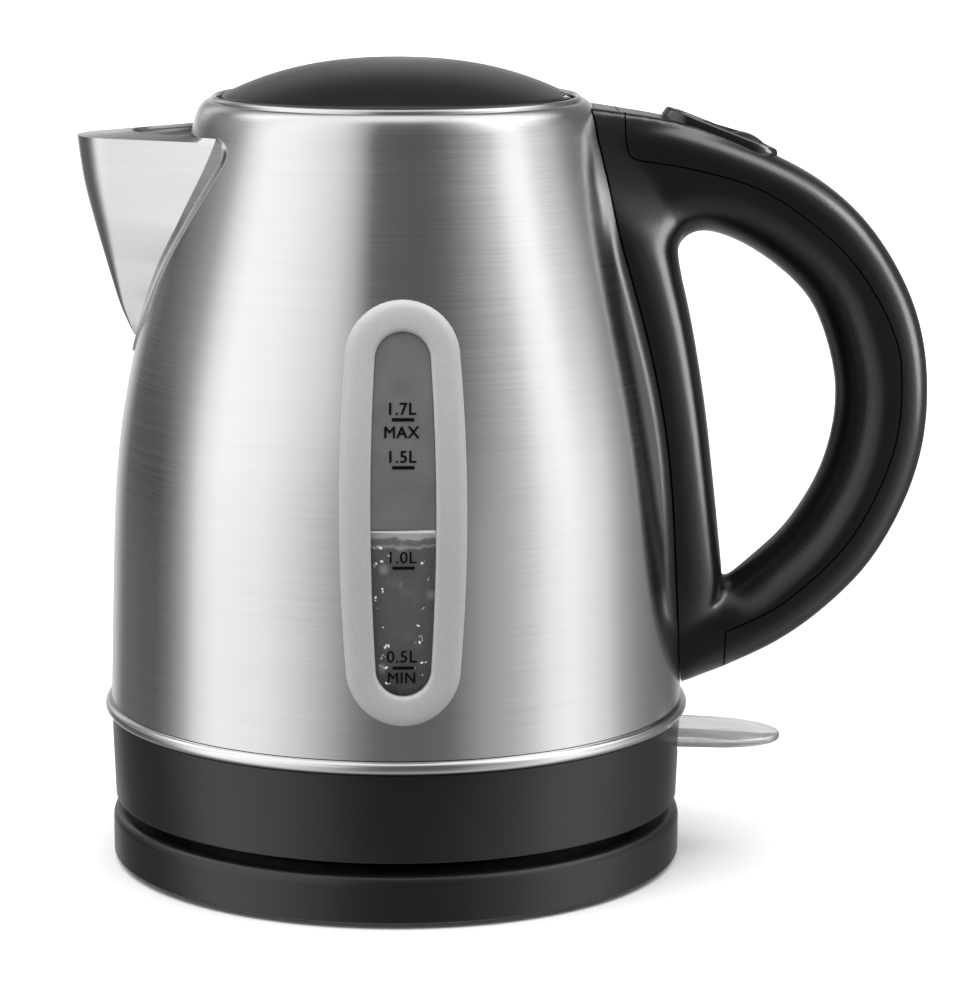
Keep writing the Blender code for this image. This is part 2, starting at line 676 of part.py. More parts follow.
def make_handle_cover():
    seam = offset_path(smooth_path(SEAM), -GAP / 2)
    front_x, tail_x = SEAM_FRONT_X + GAP / 2, seam[-1][0]
    outer = [(front_x, OUTER[1][1])] + [p for p in smooth_path(OUTER) if p[0] > front_x + GAP]

    def outline(inset):
        moved = offset_path(outer, inset)
        top = [(max(x, front_x if z > 100.0 else tail_x), z) for x, z in moved]
        return [(front_x, 200.0)] + top + seam[::-1]

    cover = chamfered_prism("handle_cover", "black_plastic", outline)
    inside = offset_path(smooth_path(OUTER[2:-1]), CASE_WALL + 0.8)
    below = offset_path(smooth_path(SEAM[1:-1]), 2.0)[::-1]
    half_gap = LOOP_HALF_W - CASE_WALL
    cut(cover, prism("cover_hollow", None, [inside + below], -half_gap, half_gap, "Y"))
    cut(cover, slanted("latch_way", None, (-45.0, -8.0), (-3.4, 3.4), (-9.0, -6.2)))
    pocket = prism("bezel_pocket", None, [racetrack(BEZEL_HALF_W + GAP, BEZEL_HALF_L + GAP)], -2.6, 12.0)
    pocket.matrix_world = button_frame() @ Matrix.Rotation(pi / 2, 4, "Z")
    cut(cover, pocket)
    cut(cover, slanted("button_well", None, (-13.6, 13.6), (-5.2, 5.2), (-6.5, -2.0)))


def make_lid_button():
    """A bezel with a rocking button in it, its spring, and the latch bar below."""
    quarter = Matrix.Rotation(pi / 2, 4, "Z")
    opening = racetrack(BUTTON_HALF_W + GAP, BUTTON_HALF_L + GAP)
    bezel = prism("button_bezel", "gloss_black", [racetrack(BEZEL_HALF_W, BEZEL_HALF_L), opening], -2.2, 2.0)
    button = prism("lid_button", "black_plastic", [racetrack(BUTTON_HALF_W, BUTTON_HALF_L)], -1.6, 1.4)
    thumb = rod("thumb_rise", None, 9.0, (-4.0, -7.5, -6.2), (4.0, -7.5, -6.2), 32)
    for thing in (bezel, button, thumb):
        thing.matrix_world = button_frame() @ quarter @ thing.matrix_world
    join(button, thumb)
    keep = prism("button_keep", None, [racetrack(BUTTON_HALF_W, BUTTON_HALF_L)], -1.6, 8.0)
    keep.matrix_world = button_frame() @ quarter
    combine(button, keep, "INTERSECT")
    slope = button_frame().to_3x3()
    spring_at = Vector(BUTTON_CENTRE) + slope @ Vector((7.0, 0.0, -5.9))
    wire("button_spring", "bright_steel", 0.3, coil(spring_at, slope @ Vector((0.0, 0.0, 1.0)), 2.2, 7.0, 5))
    slanted("lid_latch", "grey_plastic", (-38.0, -13.0), (-3.0, 3.0), (-8.6, -6.6))


def make_brackets():
    """Two tabs welded to the jug behind the handle's pad, each with a screw into the handle."""
    for name, height, lean in (("upper", 184.0, radians(15.5)), ("lower", 66.0, radians(1.5))):
        at = (side_radius(height) + 1.4, 0.0, height)
        frame = bpy.data.objects["handle_frame"]
        tilt = Matrix.Rotation(pi / 2 - lean, 4, "Y") @ Matrix.Rotation(radians(7), 4, "Z")
        ring(f"handle_bracket_{name}", "bright_steel", 2.0, 7.0, -0.6, 0.6, steps=16, origin=at, turn=tilt)
        ring(f"handle_screw_{name}", "bright_steel", 0.0, 1.6, 0.0, 8.0, steps=12, origin=at, turn=tilt)
        pocket = [(0.0, 9.0), (2.0, 9.0), (2.0, 1.0), (7.4, 1.0), (7.4, -3.0), (0.0, -3.0)]
        cut(frame, turned(f"bracket_pocket_{name}", None, pocket, 16, at, tilt))


# ---------------------------------------------------------------- lid


def make_lid():
    dome_r = (LID_R**2 + (LID_APEX_Z - LID_EDGE_Z) ** 2) / (2 * (LID_APEX_Z - LID_EDGE_Z))
    centre_z = LID_APEX_Z - dome_r
    steps = 5
    outer = [(0.0, LID_APEX_Z)]
    for step in range(1, steps + 1):
        r = LID_R * step / steps
        outer.append((r, centre_z + (dome_r**2 - r**2) ** 0.5))
    inner = [(r * 0.955, z - 2.0) for r, z in outer[::-1]]
    cover = turned(
        "lid_cover",
        "black_plastic",
        outer + [(LID_R, 211.4), (45.6, LID_LOW_Z), (43.8, LID_LOW_Z), (43.6, 210.6)] + inner[1:],
    )
    cut(cover, box("knuckle_space", None, (38.0, 52.0), (-13.6, 13.6), (205.0, 213.1)))
    x, _, z = HINGE
    arm = box("hinge_arm", "black_plastic", (30.0, x), (-5.0, 5.0), (z - 2.0, z + 1.2))
    turn_in = 9.2
    join(arm, rod("hinge_knuckle", None, KNUCKLE_R, (x, -turn_in, z), (x, turn_in, z)))
    cut(arm, rod("hinge_bore", None, PIN_R + 0.35, (x, -20.0, z), (x, 20.0, z), 16))
    cut(arm, box("spring_gap", None, (x - 4.0, x + 4.0), (-3.6, 3.6), (z - 4.0, z + 4.0)))
    spring_points = coil((x, 0.0, z), (0.0, 1.0, 0.0), 1.75, 6.2, 5)
    wire("lid_spring", "bright_steel", 0.3, spring_points)
    plate = turned(
        "lid_plate",
        "brushed_steel",
        [(0.0, 206.2), (43.4, 206.2), (43.4, 205.0), (0.0, 205.0)],
    )
    cut(plate, box("plate_trim", None, (39.0, 60.0), (-20.0, 20.0), (200.0, 210.0)))
    screw("lid_screw", "bright_steel", (0.0, 0.0, 203.9), 3.2, 1.5, 0.8, 8.0)
    cut(plate, rod("lid_screw_hole", None, 1.9, (0.0, 0.0, 200.0), (0.0, 0.0, 210.0), 16))


def make_hinge():
    """The fixed side of the lid's hinge: a bracket inside the lip, and its pin."""
    x, _, z = HINGE
    bracket = box("hinge_bracket", "black_plastic", (44.6, 52.4), (-13.2, 13.2), (201.6, 204.0))
    for number, side in ((1, 1), (2, -1)):
        y = sorted((side * 9.6, side * 13.2))
        join(bracket, box(f"bracket_ear_{number}", None, (x - 2.0, x + 2.0), y, (203.0, z)))
        join(bracket, rod(f"bracket_eye_{number}", None, 2.05, (x, y[0], z), (x, y[1], z)))
    cut(bracket, rod("pin_hole", None, PIN_R + 0.3, (x, -20.0, z), (x, 20.0, z), 16))
    rod("hinge_pin", "bright_steel", PIN_R, (x, -13.0, z), (x, 13.0, z), 16)


make_base()
make_connector()
make_jug()
make_window()
make_heating()
make_control()
make_skirt()
make_switch()
make_handle_frame()
make_handle_cover()
make_lid_button()
make_brackets()
make_lid()
make_hinge()
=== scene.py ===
"""The looks of the cordless electric kettle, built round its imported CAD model.

Lengths are in millimetres, and make_object turns them into metres. Only textures, lights and the
camera are in metres. The frame is the CAD one: the origin is on the jug's axis at the worktop, +X
points to the handle, -X to the spout and -Y to the water window.
"""

import json
from math import acos, atan2, cos, hypot, pi, radians, sin, sqrt
from random import Random

import bmesh
import bpy
from mathutils import Matrix, Vector


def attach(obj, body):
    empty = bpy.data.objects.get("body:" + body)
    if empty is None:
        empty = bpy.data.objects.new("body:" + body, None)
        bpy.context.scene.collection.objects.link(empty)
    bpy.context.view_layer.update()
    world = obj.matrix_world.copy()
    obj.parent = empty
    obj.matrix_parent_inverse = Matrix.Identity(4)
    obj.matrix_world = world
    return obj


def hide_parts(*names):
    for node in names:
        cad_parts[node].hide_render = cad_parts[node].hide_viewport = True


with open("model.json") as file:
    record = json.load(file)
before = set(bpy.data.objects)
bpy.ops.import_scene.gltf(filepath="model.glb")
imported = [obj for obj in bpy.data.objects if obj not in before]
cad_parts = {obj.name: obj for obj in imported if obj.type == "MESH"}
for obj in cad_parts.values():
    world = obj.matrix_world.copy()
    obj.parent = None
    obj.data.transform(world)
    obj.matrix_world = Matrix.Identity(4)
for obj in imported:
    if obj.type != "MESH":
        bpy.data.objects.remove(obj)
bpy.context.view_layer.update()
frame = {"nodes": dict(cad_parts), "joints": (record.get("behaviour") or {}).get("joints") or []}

MM = 0.001
ROUND = 192  # steps round a turned piece

# the jug's side, one cubic curve from the bottom up, and its lip, as (radius, height)
SIDE = ((79.9, 45.9), (77.5, 120.6), (80.6, 119.7), (56.15, 202.7))
LIP = ((56.15, 202.7), (55.5, 205.6), (54.8, 208.0), (53.8, 210.1), (52.5, 211.5), (51.5, 212.0),
       (50.9, 211.9), (50.8, 212.4), (50.4, 213.0), (49.8, 213.2), (49.2, 212.8), (49.0, 211.9))
WALL = 1.0
FLANGE_LOW_Z = 206.0

# the window: each outline is its half-width at the round ends, half-width in the middle and half-height
WINDOW_Z = 110.5
FRAME_OUTLINE = (15.0, 16.6, 55.1)
LENS_OUTLINE = (7.25, 8.5, 47.2)
OPENING_OUTLINE = (8.4, 9.4, 48.0)
CLAMP_OUTLINE = (15.4, 15.6, 54.4)
FILL_OUTLINE = (8.6, 9.2, 47.6)
LENS_OUT, LENS_IN = 1.1, -0.8  # how far the lens's two sides stand off the jug's surface
WATER_Z = 106.4
WATER_LOW_Z = 48.6

# the spout: its keel, as (x, height) from the rim down, and its flange on the jug, as (degrees round
# from -X, height), at the outer edge and at the crease
KEEL = ((-87.4, 203.7), (-85.7, 190.8), (-82.8, 178.7), (-79.7, 167.6), (-76.4, 156.5), (-74.2, 151.0),
        (-72.2, 146.8))
SPOUT_NOSE_R = 17.0
SPOUT_SHEET = 0.8
SPOUT_LOW_Z = 147.0
FLANGE = ((30.6, 203.9), (34.0, 202.8), (36.0, 200.8), (36.0, 198.2), (34.2, 194.8), (32.3, 191.8),
          (24.3, 179.6), (16.5, 168.5), (10.3, 157.1), (5.4, 149.2), (0.0, 142.6))
CREASE = ((30.4, 203.7), (30.2, 203.0), (29.6, 201.0), (28.8, 198.4), (27.4, 194.8), (26.0, 191.8),
          (19.5, 179.6), (11.7, 168.5), (5.2, 157.1), (2.0, 150.0), (0.0, 146.6))

# the handle's outer edge, the parting seam of its cover and its opening, as (x, height)
OUTER = ((50.0, 210.7), (62.0, 208.9), (76.0, 206.4), (90.0, 202.2), (105.0, 196.1), (118.0, 188.8),
         (129.3, 178.7), (138.5, 165.5), (144.7, 151.0), (147.4, 135.0), (146.7, 117.3), (141.8, 100.2),
         (132.5, 83.2), (120.0, 70.0), (106.5, 60.2), (91.2, 52.9))
SEAM = ((65.0, 196.5), (79.0, 194.1), (97.0, 189.0), (111.0, 180.6), (125.5, 167.1), (135.9, 149.5),
        (138.7, 134.8), (136.6, 114.6), (125.7, 91.4), (107.8, 73.6), (91.2, 65.0))
HOLE = ((83.7, 175.4), (77.6, 169.0), (81.4, 151.0), (85.3, 128.5), (88.1, 105.9), (89.6, 85.0),
        (91.3, 78.2), (98.6, 83.2), (110.0, 94.6), (119.2, 111.6), (122.2, 131.4), (117.3, 151.0),
        (109.4, 162.1), (96.0, 171.8))
SEAM_FRONT_X, SEAM_BACK_X = 62.0, 91.2
SEAM_GAP = 0.4
HANDLE_HALF = 14.0
HANDLE_GAP = 0.3  # between the handle and the jug
VOXEL, QUICK_VOXEL = 0.8, 1.1
# the pad that leans on the jug: height, half-width, how far out it reaches, and how square its section is
PAD = ((211.5, 11.0, 112.0, 1.0), (209.0, 13.0, 120.0, 1.0), (205.0, 14.6, 128.0, 1.0),
       (200.0, 15.8, 130.0, 1.0), (192.0, 17.8, 122.0, 1.0), (186.0, 19.6, 104.0, 1.1),
       (180.0, 21.2, 86.0, 1.5), (174.0, 22.0, 78.6, 2.2), (167.6, 21.9, 77.9, 2.8),
       (151.0, 21.5, 81.5, 3.0), (128.5, 21.0, 85.4, 3.0), (106.0, 20.0, 88.2, 3.0),
       (92.0, 18.9, 89.8, 3.0), (78.0, 17.2, 91.2, 3.0), (70.0, 15.6, 90.4, 2.8),
       (62.0, 13.2, 88.0, 2.5), (54.0, 9.2, 84.0, 2.2), (48.6, 4.0, 79.9, 2.0))

BUTTON_CENTRE = (89.0, 0.0, 202.4)
BUTTON_SLOPE = radians(19.4)
# slot outlines along the handle: the bezel's seat and its two edges, and the button's edge
SEAT_OUTLINE = (8.3, 8.3, 17.3)
BEZEL_OUTER = (8.0, 8.0, 17.0)
BEZEL_INNER = (5.1, 5.1, 13.3)
BUTTON_OUTLINE = (4.8, 4.8, 13.0)
LATCH_HALF = 3.5  # half-width of the latch bar's slot

PINS = {}  # where each joint of the frame turns
for joint in frame["joints"]:
    PINS[joint["name"]] = [place / MM for place in joint.get("pos_m", ())]
LEVER_PIN = PINS["switch_lever_rock"]
LEVER_DROOP = radians(1.7)
LEVER_HALF = 14.0
LEVER_TIP_X, LEVER_ROUND = 108.5, 20.0  # the tip, and the length of the rounded end
LID_PIN = PINS["lid_hinge"]
LID_TOP_Z, LID_DOME_R, LID_DROP = 223.1, 47.0, 9.6
LID_OPENINGS = (16, 32, 48, 64, 80)  # degrees at which the lid is cut clear of the lip

FLOOR_HALF, FLOOR_DEPTH = 14000.0, 30.0
WORLD_PEAK = 3.0  # the world's colours are shares of this radiance
EDGE_LIGHTS = ((4, 1.2), (32, 1.1), (60, 0.6))  # degrees above the horizon, strength
CAMERA_DISTANCE, CAMERA_HEIGHT = 1.0377, 0.2965
CAMERA_HEADING, CAMERA_TILT = radians(1.4), radians(10.71)


# ---------------------------------------------------------------- outlines


def lerp(a, b, t):
    return a + (b - a) * t


def smooth(points, per_span, closed=False):
    """A Catmull-Rom curve through the points."""
    count = len(points)
    path = []
    for span in range(count if closed else count - 1):
        if closed:
            near = [points[(span + k) % count] for k in (-1, 0, 1, 2)]
        else:
            near = [points[min(max(span + k, 0), count - 1)] for k in (-1, 0, 1, 2)]
        a, b, c, d = (Vector(p) for p in near)
        for step in range(per_span):
            t = step / per_span
            bend = (c - a) * t + (2 * a - 5 * b + 4 * c - d) * t**2 + (3 * b - a - 3 * c + d) * t**3
            path.append(tuple(b + 0.5 * bend))
    if not closed:
        path.append(tuple(points[-1]))
    return path


def offset(points, by, closed=False):
    """Move each point of a path by a distance to its right."""
    last = len(points) - 1
    moved = []
    for index, point in enumerate(points):
        before = Vector(points[index - 1 if closed else max(index - 1, 0)])
        after = Vector(points[(index + 1) % (last + 1) if closed else min(index + 1, last)])
        along = (after - before).normalized()
        moved.append((point[0] + along.y * by, point[1] - along.x * by))
    return moved


def rounded(points, steps):
    """A closed outline whose corners, given as (a, b, radius), are rounded."""
    path = []
    for index, (a, b, radius) in enumerate(points):
        here = Vector((a, b))
        before = Vector(points[index - 1][:2])
        after = Vector(points[(index + 1) % len(points)][:2])
        if not radius:
            path.append((a, b))
            continue
        reach = min(radius, (before - here).length * 0.49, (after - here).length * 0.49)
        start = here + (before - here).normalized() * reach
        end = here + (after - here).normalized() * reach
        for step in range(steps + 1):
            t = step / steps
            path.append(tuple(start * (1 - t) ** 2 + here * 2 * t * (1 - t) + end * t**2))
    return path


def side_point(t):
    """A point of the jug's side, from its bottom at 0 to its lip at 1."""
    share = ((1 - t) ** 3, 3 * t * (1 - t) ** 2, 3 * t * t * (1 - t), t**3)
    return tuple(sum(s * p[axis] for s, p in zip(share, SIDE)) for axis in (0, 1))


JUG_OUTLINE = [side_point(step / 60) for step in range(60)] + smooth(LIP, 4)  # bottom up


def jug_radius(height):
    """The jug's outer radius at a height."""
    for (r1, z1), (r2, z2) in zip(JUG_OUTLINE, JUG_OUTLINE[1:]):
        if z1 <= height <= z2:
            return lerp(r1, r2, (height - z1) / (z2 - z1))
    return JUG_OUTLINE[0][0] if height < JUG_OUTLINE[0][1] else LIP[4][0]


def on_jug(across, height, out):
    """A point over the jug's -Y side."""
    radius = jug_radius(height) + out
    return across, -sqrt(radius**2 - across**2), height


def slot_outline(shape, ends=24, sides=30):
    """A tall outline with round ends and sides that swell a little, anticlockwise from the right."""
    end_w, mid_w, half_h = shape
    straight = half_h - end_w
    points = []
    for side, start in ((1, 0.0), (-1, pi)):
        for step in range(ends + 1):
            angle = start + pi * step / ends
            points.append((end_w * cos(angle), side * straight + end_w * sin(angle)))
        for step in range(1, sides):
            t = 1 - 2 * step / sides
            points.append((-side * lerp(mid_w, end_w, t * t), side * straight * t))
    return points


def slot_half_width(shape, height):
    """Half of a slot outline's width at a height above its middle."""
    end_w, mid_w, half_h = shape
    straight = half_h - end_w
    if abs(height) <= straight:
        return lerp(mid_w, end_w, (height / straight) ** 2)
    return sqrt(max(end_w**2 - (abs(height) - straight) ** 2, 0.0))


# ---------------------------------------------------------------- meshes


def add(name, data):
    """Put an object with this data in the scene."""
    thing = bpy.data.objects.new(name, data)
    bpy.context.scene.collection.objects.link(thing)
    return thing


def make_object(name, points, faces):
    """A mesh object from points in millimetres."""
    mesh = bpy.data.meshes.new(name)
    mesh.from_pydata([(x * MM, y * MM, z * MM) for x, y, z in points], [], faces)
    thing = add(name, mesh)
    mend(thing)
    return thing


def mend(thing):
    """Merge doubled points and turn every face outwards."""
    shape = bmesh.new()
    shape.from_mesh(thing.data)
    bmesh.ops.remove_doubles(shape, verts=shape.verts, dist=1e-6)
    bmesh.ops.recalc_face_normals(shape, faces=shape.faces)
    shape.to_mesh(thing.data)
    shape.free()


def evaluated(thing):
    """The mesh that an object shows, with its modifiers or its font worked out."""
    bpy.context.view_layer.update()
    depsgraph = bpy.context.evaluated_depsgraph_get()
    return bpy.data.meshes.new_from_object(thing.evaluated_get(depsgraph))


def settle(thing):
    """Apply an object's modifiers."""
    mesh = evaluated(thing)
    thing.modifiers.clear()
    thing.data = mesh


def combine(thing, *others, how="DIFFERENCE"):
    """Cut the others from a thing, or join them to it, one by one."""
    for other in others:
        boolean = thing.modifiers.new(how, "BOOLEAN")
        boolean.operation = how
        boolean.solver = "MANIFOLD"
        boolean.object = other
        settle(thing)
        bpy.data.objects.remove(other)
    return thing


def loft(name, rows, ring=False):
    """Join closed rows of points; the ends are capped unless the rows go round in a ring."""
    count = len(rows[0])
    points = [p for row in rows for p in row]
    faces = []
    for r in range(len(rows) if ring else len(rows) - 1):
        for c in range(count):
            a, b = r * count + c, r * count + (c + 1) % count
            below = (r + 1) % len(rows) * count
            faces.append((a, b, below + (c + 1) % count, below + c))
    if not ring:
        faces += [tuple(range(count)), tuple(range(len(points) - 1, len(points) - 1 - count, -1))]
    return make_object(name, points, faces)


def lathe(name, profile, steps=ROUND):
    """Turn a closed outline of (radius, height) points about Z. Points on the axis close a disc."""
    rows = []
    for step in range(steps):
        angle = 2 * pi * step / steps
        rows.append([(r * cos(angle), r * sin(angle), z) for r, z in profile])
    thing = loft(name, rows, ring=True)
    if any(r < 1e-6 for r, _ in profile):
        shape = bmesh.new()
        shape.from_mesh(thing.data)
        bmesh.ops.dissolve_degenerate(shape, dist=1e-7, edges=shape.edges)
        shape.to_mesh(thing.data)
        shape.free()
    return thing


def prism(name, outline, ends):
    """An outline of (x, z) points, drawn out between two Y values."""
    return loft(name, [[(x, y, z) for x, z in outline] for y in ends])


def bar(name, x, z, radius, half, sides):
    """A round bar along Y."""
    turns = [2 * pi * k / sides for k in range(sides)]
    return prism(name, [(x + radius * cos(a), z + radius * sin(a)) for a in turns], (-half, half))


def puffed(name, outline, levels):
    """A plate in the XZ plane: outline(inset) gives its edge, and levels are (y, inset)."""
    return loft(name, [[(x, y, z) for x, z in outline(inset)] for y, inset in levels])


def block(name, x, y, z, turn=None):
    """A box between pairs of x, y and z, turned by a matrix if one is given."""
    corners = [(a, b, c) for a in x for b in y for c in z]
    if turn:
        corners = [tuple(turn @ Vector(p)) for p in corners]
    faces = [(0, 1, 3, 2), (4, 6, 7, 5), (0, 4, 5, 1), (2, 3, 7, 6), (0, 2, 6, 4), (1, 5, 7, 3)]
    return make_object(name, corners, faces)


def tube(name, path, radius, sides=10):
    """A round wire along a path, with flat ends. radius is a function of 0 to 1."""
    rows = []
    last = len(path) - 1
    side = None
    for index, point in enumerate(path):
        here = Vector(point)
        along = (Vector(path[min(index + 1, last)]) - Vector(path[max(index - 1, 0)])).normalized()
        side = side or along.orthogonal().normalized()
        side = (side - along * side.dot(along)).normalized()
        other = along.cross(side)
        r = radius(index / last)
        turns = [2 * pi * step / sides for step in range(sides)]
        rows.append([tuple(here + (side * cos(a) + other * sin(a)) * r) for a in turns])
    return loft(name, rows)


def dress(thing, body, material, replaces=(), crease=32.0):
    """Finish a piece: shading, material, the body it rides on and the nodes it stands for."""
    thing.data.materials.clear()
    thing.data.materials.append(material)
    for face in thing.data.polygons:
        face.use_smooth = True
    thing.data.set_sharp_from_angle(angle=radians(crease))
    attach(thing, body)
    if replaces:
        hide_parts(*replaces)
    return thing


# ---------------------------------------------------------------- materials


def node(tree, kind, inputs=None, **settings):
    """Add a node; its inputs are set to constants or linked to sockets."""
    made = tree.nodes.new(kind)
    for key, value in settings.items():
        setattr(made, key, value)
    for key, value in (inputs or {}).items():
        if isinstance(value, bpy.types.NodeSocket):
            tree.links.new(value, made.inputs[key])
        else:
            made.inputs[key].default_value = value
    return made


def maths(tree, operation, a, b):
    """Add a Math node and return what it gives."""
    return node(tree, "ShaderNodeMath", {0: a, 1: b}, operation=operation).outputs[0]


def between(tree, value, low, high, from_low=0.3, from_high=0.7):
    """Map a value from one range to another; the first is a noise's usual range if none is given."""
    inputs = {"Value": value, "From Min": from_low, "From Max": from_high, "To Min": low, "To Max": high}
    return node(tree, "ShaderNodeMapRange", inputs).outputs["Result"]


def grey(level):
    return level, level, level, 1.0


def mix(tree, share, first, second):
    """Blend two colours; a Mix node's colour sockets are 6, 7 and, going out, 2."""
    made = node(tree, "ShaderNodeMix", {0: share, 6: first, 7: second}, data_type="RGBA")
    return made.outputs[2]


def ramp(tree, value, stops):
    """Grey levels at places from 0 to 1."""
    made = node(tree, "ShaderNodeValToRGB", {0: value})
    elements = made.color_ramp.elements
    while len(elements) > 1:
        elements.remove(elements[0])
    for index, (at, level) in enumerate(stops):
        element = elements[0] if index == 0 else elements.new(at)
        element.position = at
        element.color = grey(level)
    return made.outputs["Color"]


def new_material(name, colour, roughness, metallic=0.0, **sockets):
    """A material whose shader has these values; more sockets are named with _ for each space."""
    material = bpy.data.materials.new(name)
    material.use_nodes = True
    tree = material.node_tree
    shader = tree.nodes["Principled BSDF"]
    shader.inputs["Base Color"].default_value = (*colour, 1.0)
    shader.inputs["Roughness"].default_value = roughness
    shader.inputs["Metallic"].default_value = metallic
    for key, value in sockets.items():
        shader.inputs[key.replace("_", " ")].default_value = value
    return material, tree, shader


def place_in(tree):
    return node(tree, "ShaderNodeTexCoord").outputs["Object"]


def noise(tree, where, scale, detail=2.0):
    inputs = {"Vector": where, "Scale": scale, "Detail": detail}
    return node(tree, "ShaderNodeTexNoise", inputs).outputs["Fac"]


def bump(tree, shader, height, distance, strength):
    inputs = {"Height": height, "Distance": distance, "Strength": strength}
    tree.links.new(node(tree, "ShaderNodeBump", inputs).outputs["Normal"], shader.inputs["Normal"])


def steel(name, level, roughness, anisotropic, around=True, grain=1.0):
    """Sheet metal with brush lines that run round the axis, or straight across it."""
    turn_scale, straight_scale, line_scale = 1.3, 60.0, 2300.0
    material, tree, shader = new_material(
        name, (level, level, level), roughness, 1.0, Anisotropic=anisotropic, Anisotropic_Rotation=0.25
    )
    at = node(tree, "ShaderNodeSeparateXYZ", {0: place_in(tree)})
    tangent = node(tree, "ShaderNodeTangent", direction_type="RADIAL", axis="Z")
    tree.links.new(tangent.outputs[0], shader.inputs["Tangent"])
    if around:
        heading = maths(tree, "ARCTAN2", at.outputs["Y"], at.outputs["X"])
        along = maths(tree, "MULTIPLY", heading, turn_scale)
    else:
        along = maths(tree, "MULTIPLY", maths(tree, "ADD", at.outputs["X"], at.outputs["Y"]), straight_scale)
    across = maths(tree, "MULTIPLY", at.outputs["Z"], line_scale)
    lines = node(tree, "ShaderNodeCombineXYZ", {"X": along, "Z": across}).outputs[0]
    fine = noise(tree, lines, 1.0, 4.0)
    broad = noise(tree, lines, 0.13, 2.0)
    tree.links.new(between(tree, fine, roughness - 0.04, roughness + 0.04), shader.inputs["Roughness"])
    share = maths(tree, "ADD", maths(tree, "MULTIPLY", fine, 0.7), maths(tree, "MULTIPLY", broad, 0.3))
    shade = mix(tree, share, grey(level * 0.9), grey(level * 1.08))
    tree.links.new(shade, shader.inputs["Base Color"])
    bump(tree, shader, fine, 0.000004 * grain, 0.4)
    return material


def plastic(name, colour, roughness, grain, depth, **sockets):
    """Moulded plastic with a fine spark-eroded grain; grain and depth are in millimetres."""
    material, tree, shader = new_material(name, colour, roughness, **sockets)
    where = place_in(tree)
    fine = noise(tree, where, 1.0 / (grain * MM), 3.0)
    cloud = noise(tree, where, 35.0, 3.0)
    tree.links.new(between(tree, cloud, roughness - 0.035, roughness + 0.035), shader.inputs["Roughness"])
    darker, lighter = (tuple(c * f for c in colour) + (1,) for f in (0.86, 1.14))
    tree.links.new(mix(tree, fine, darker, lighter), shader.inputs["Base Color"])
    bump(tree, shader, fine, depth * MM, 0.6)
    return material


BODY_STEEL = steel("body_steel", 0.67, 0.22, 0.85)
SPOUT_STEEL = steel("spout_steel", 0.67, 0.24, 0.8)
BRIGHT_STEEL = steel("bright_steel", 0.72, 0.2, 0.2, around=False, grain=0.5)
HANDLE_BLACK = plastic(
    "handle_black", (0.003, 0.003, 0.003), 0.23, 0.5, 0.07, IOR=1.5, Specular_IOR_Level=0.65
)
LID_BLACK = plastic("lid_black", (0.006, 0.006, 0.006), 0.26, 0.4, 0.02)
SKIRT_BLACK = plastic("skirt_black", (0.007, 0.007, 0.007), 0.3, 0.45, 0.03, IOR=1.55)
GLOSS_BLACK = plastic("gloss_black", (0.004, 0.004, 0.004), 0.12, 0.8, 0.004, IOR=1.7)
GREY_PLASTIC = plastic("grey_plastic", (0.3, 0.3, 0.3), 0.45, 0.5, 0.02)
MILKY = plastic(
    "milky_plastic", (0.5, 0.5, 0.5), 0.3, 0.5, 0.01, Subsurface_Weight=0.15, Subsurface_Scale=0.003
)
SILICONE = plastic("silicone", (0.6, 0.6, 0.58), 0.6, 0.6, 0.02)
RUBBER = plastic("rubber", (0.02, 0.02, 0.02), 0.8, 0.5, 0.05)
BRASS = steel("brass", 0.6, 0.3, 0.2, around=False)
ALUMINIUM = steel("aluminium", 0.7, 0.38, 0.2, around=False)
INK = plastic("ink", (0.002, 0.002, 0.002), 0.7, 0.3, 0.004, Specular_IOR_Level=0.1)


def clear_plastic():
    """The lever's slightly wavy clear plastic."""
    material, tree, shader = new_material(
        "clear_plastic", (0.66, 0.66, 0.66), 0.1, Transmission_Weight=0.82, IOR=1.3
    )
    fine = noise(tree, place_in(tree), 260.0, 2.0)
    tree.links.new(between(tree, fine, 0.03, 0.09), shader.inputs["Roughness"])
    bump(tree, shader, noise(tree, place_in(tree), 90.0, 1.0), 0.0002, 0.4)
    return material


def lens_plastic():
    """The window: fogged above the water, clear below it."""
    material, tree, shader = new_material("window_plastic", (0.15, 0.15, 0.15), 0.12, IOR=1.49)
    height = node(tree, "ShaderNodeSeparateXYZ", {0: place_in(tree)}).outputs["Z"]
    fog = noise(tree, place_in(tree), 120.0, 3.0)
    above = between(tree, height, 0.0, 1.0, (WATER_Z + 0.6) * MM, (WATER_Z + 1.0) * MM)
    alpha = maths(tree, "MULTIPLY", above, between(tree, fog, 0.8, 0.92))
    tree.links.new(maths(tree, "MAXIMUM", alpha, 0.12), shader.inputs["Alpha"])
    tree.links.new(mix(tree, fog, grey(0.17), grey(0.2)), shader.inputs["Base Color"])
    return material


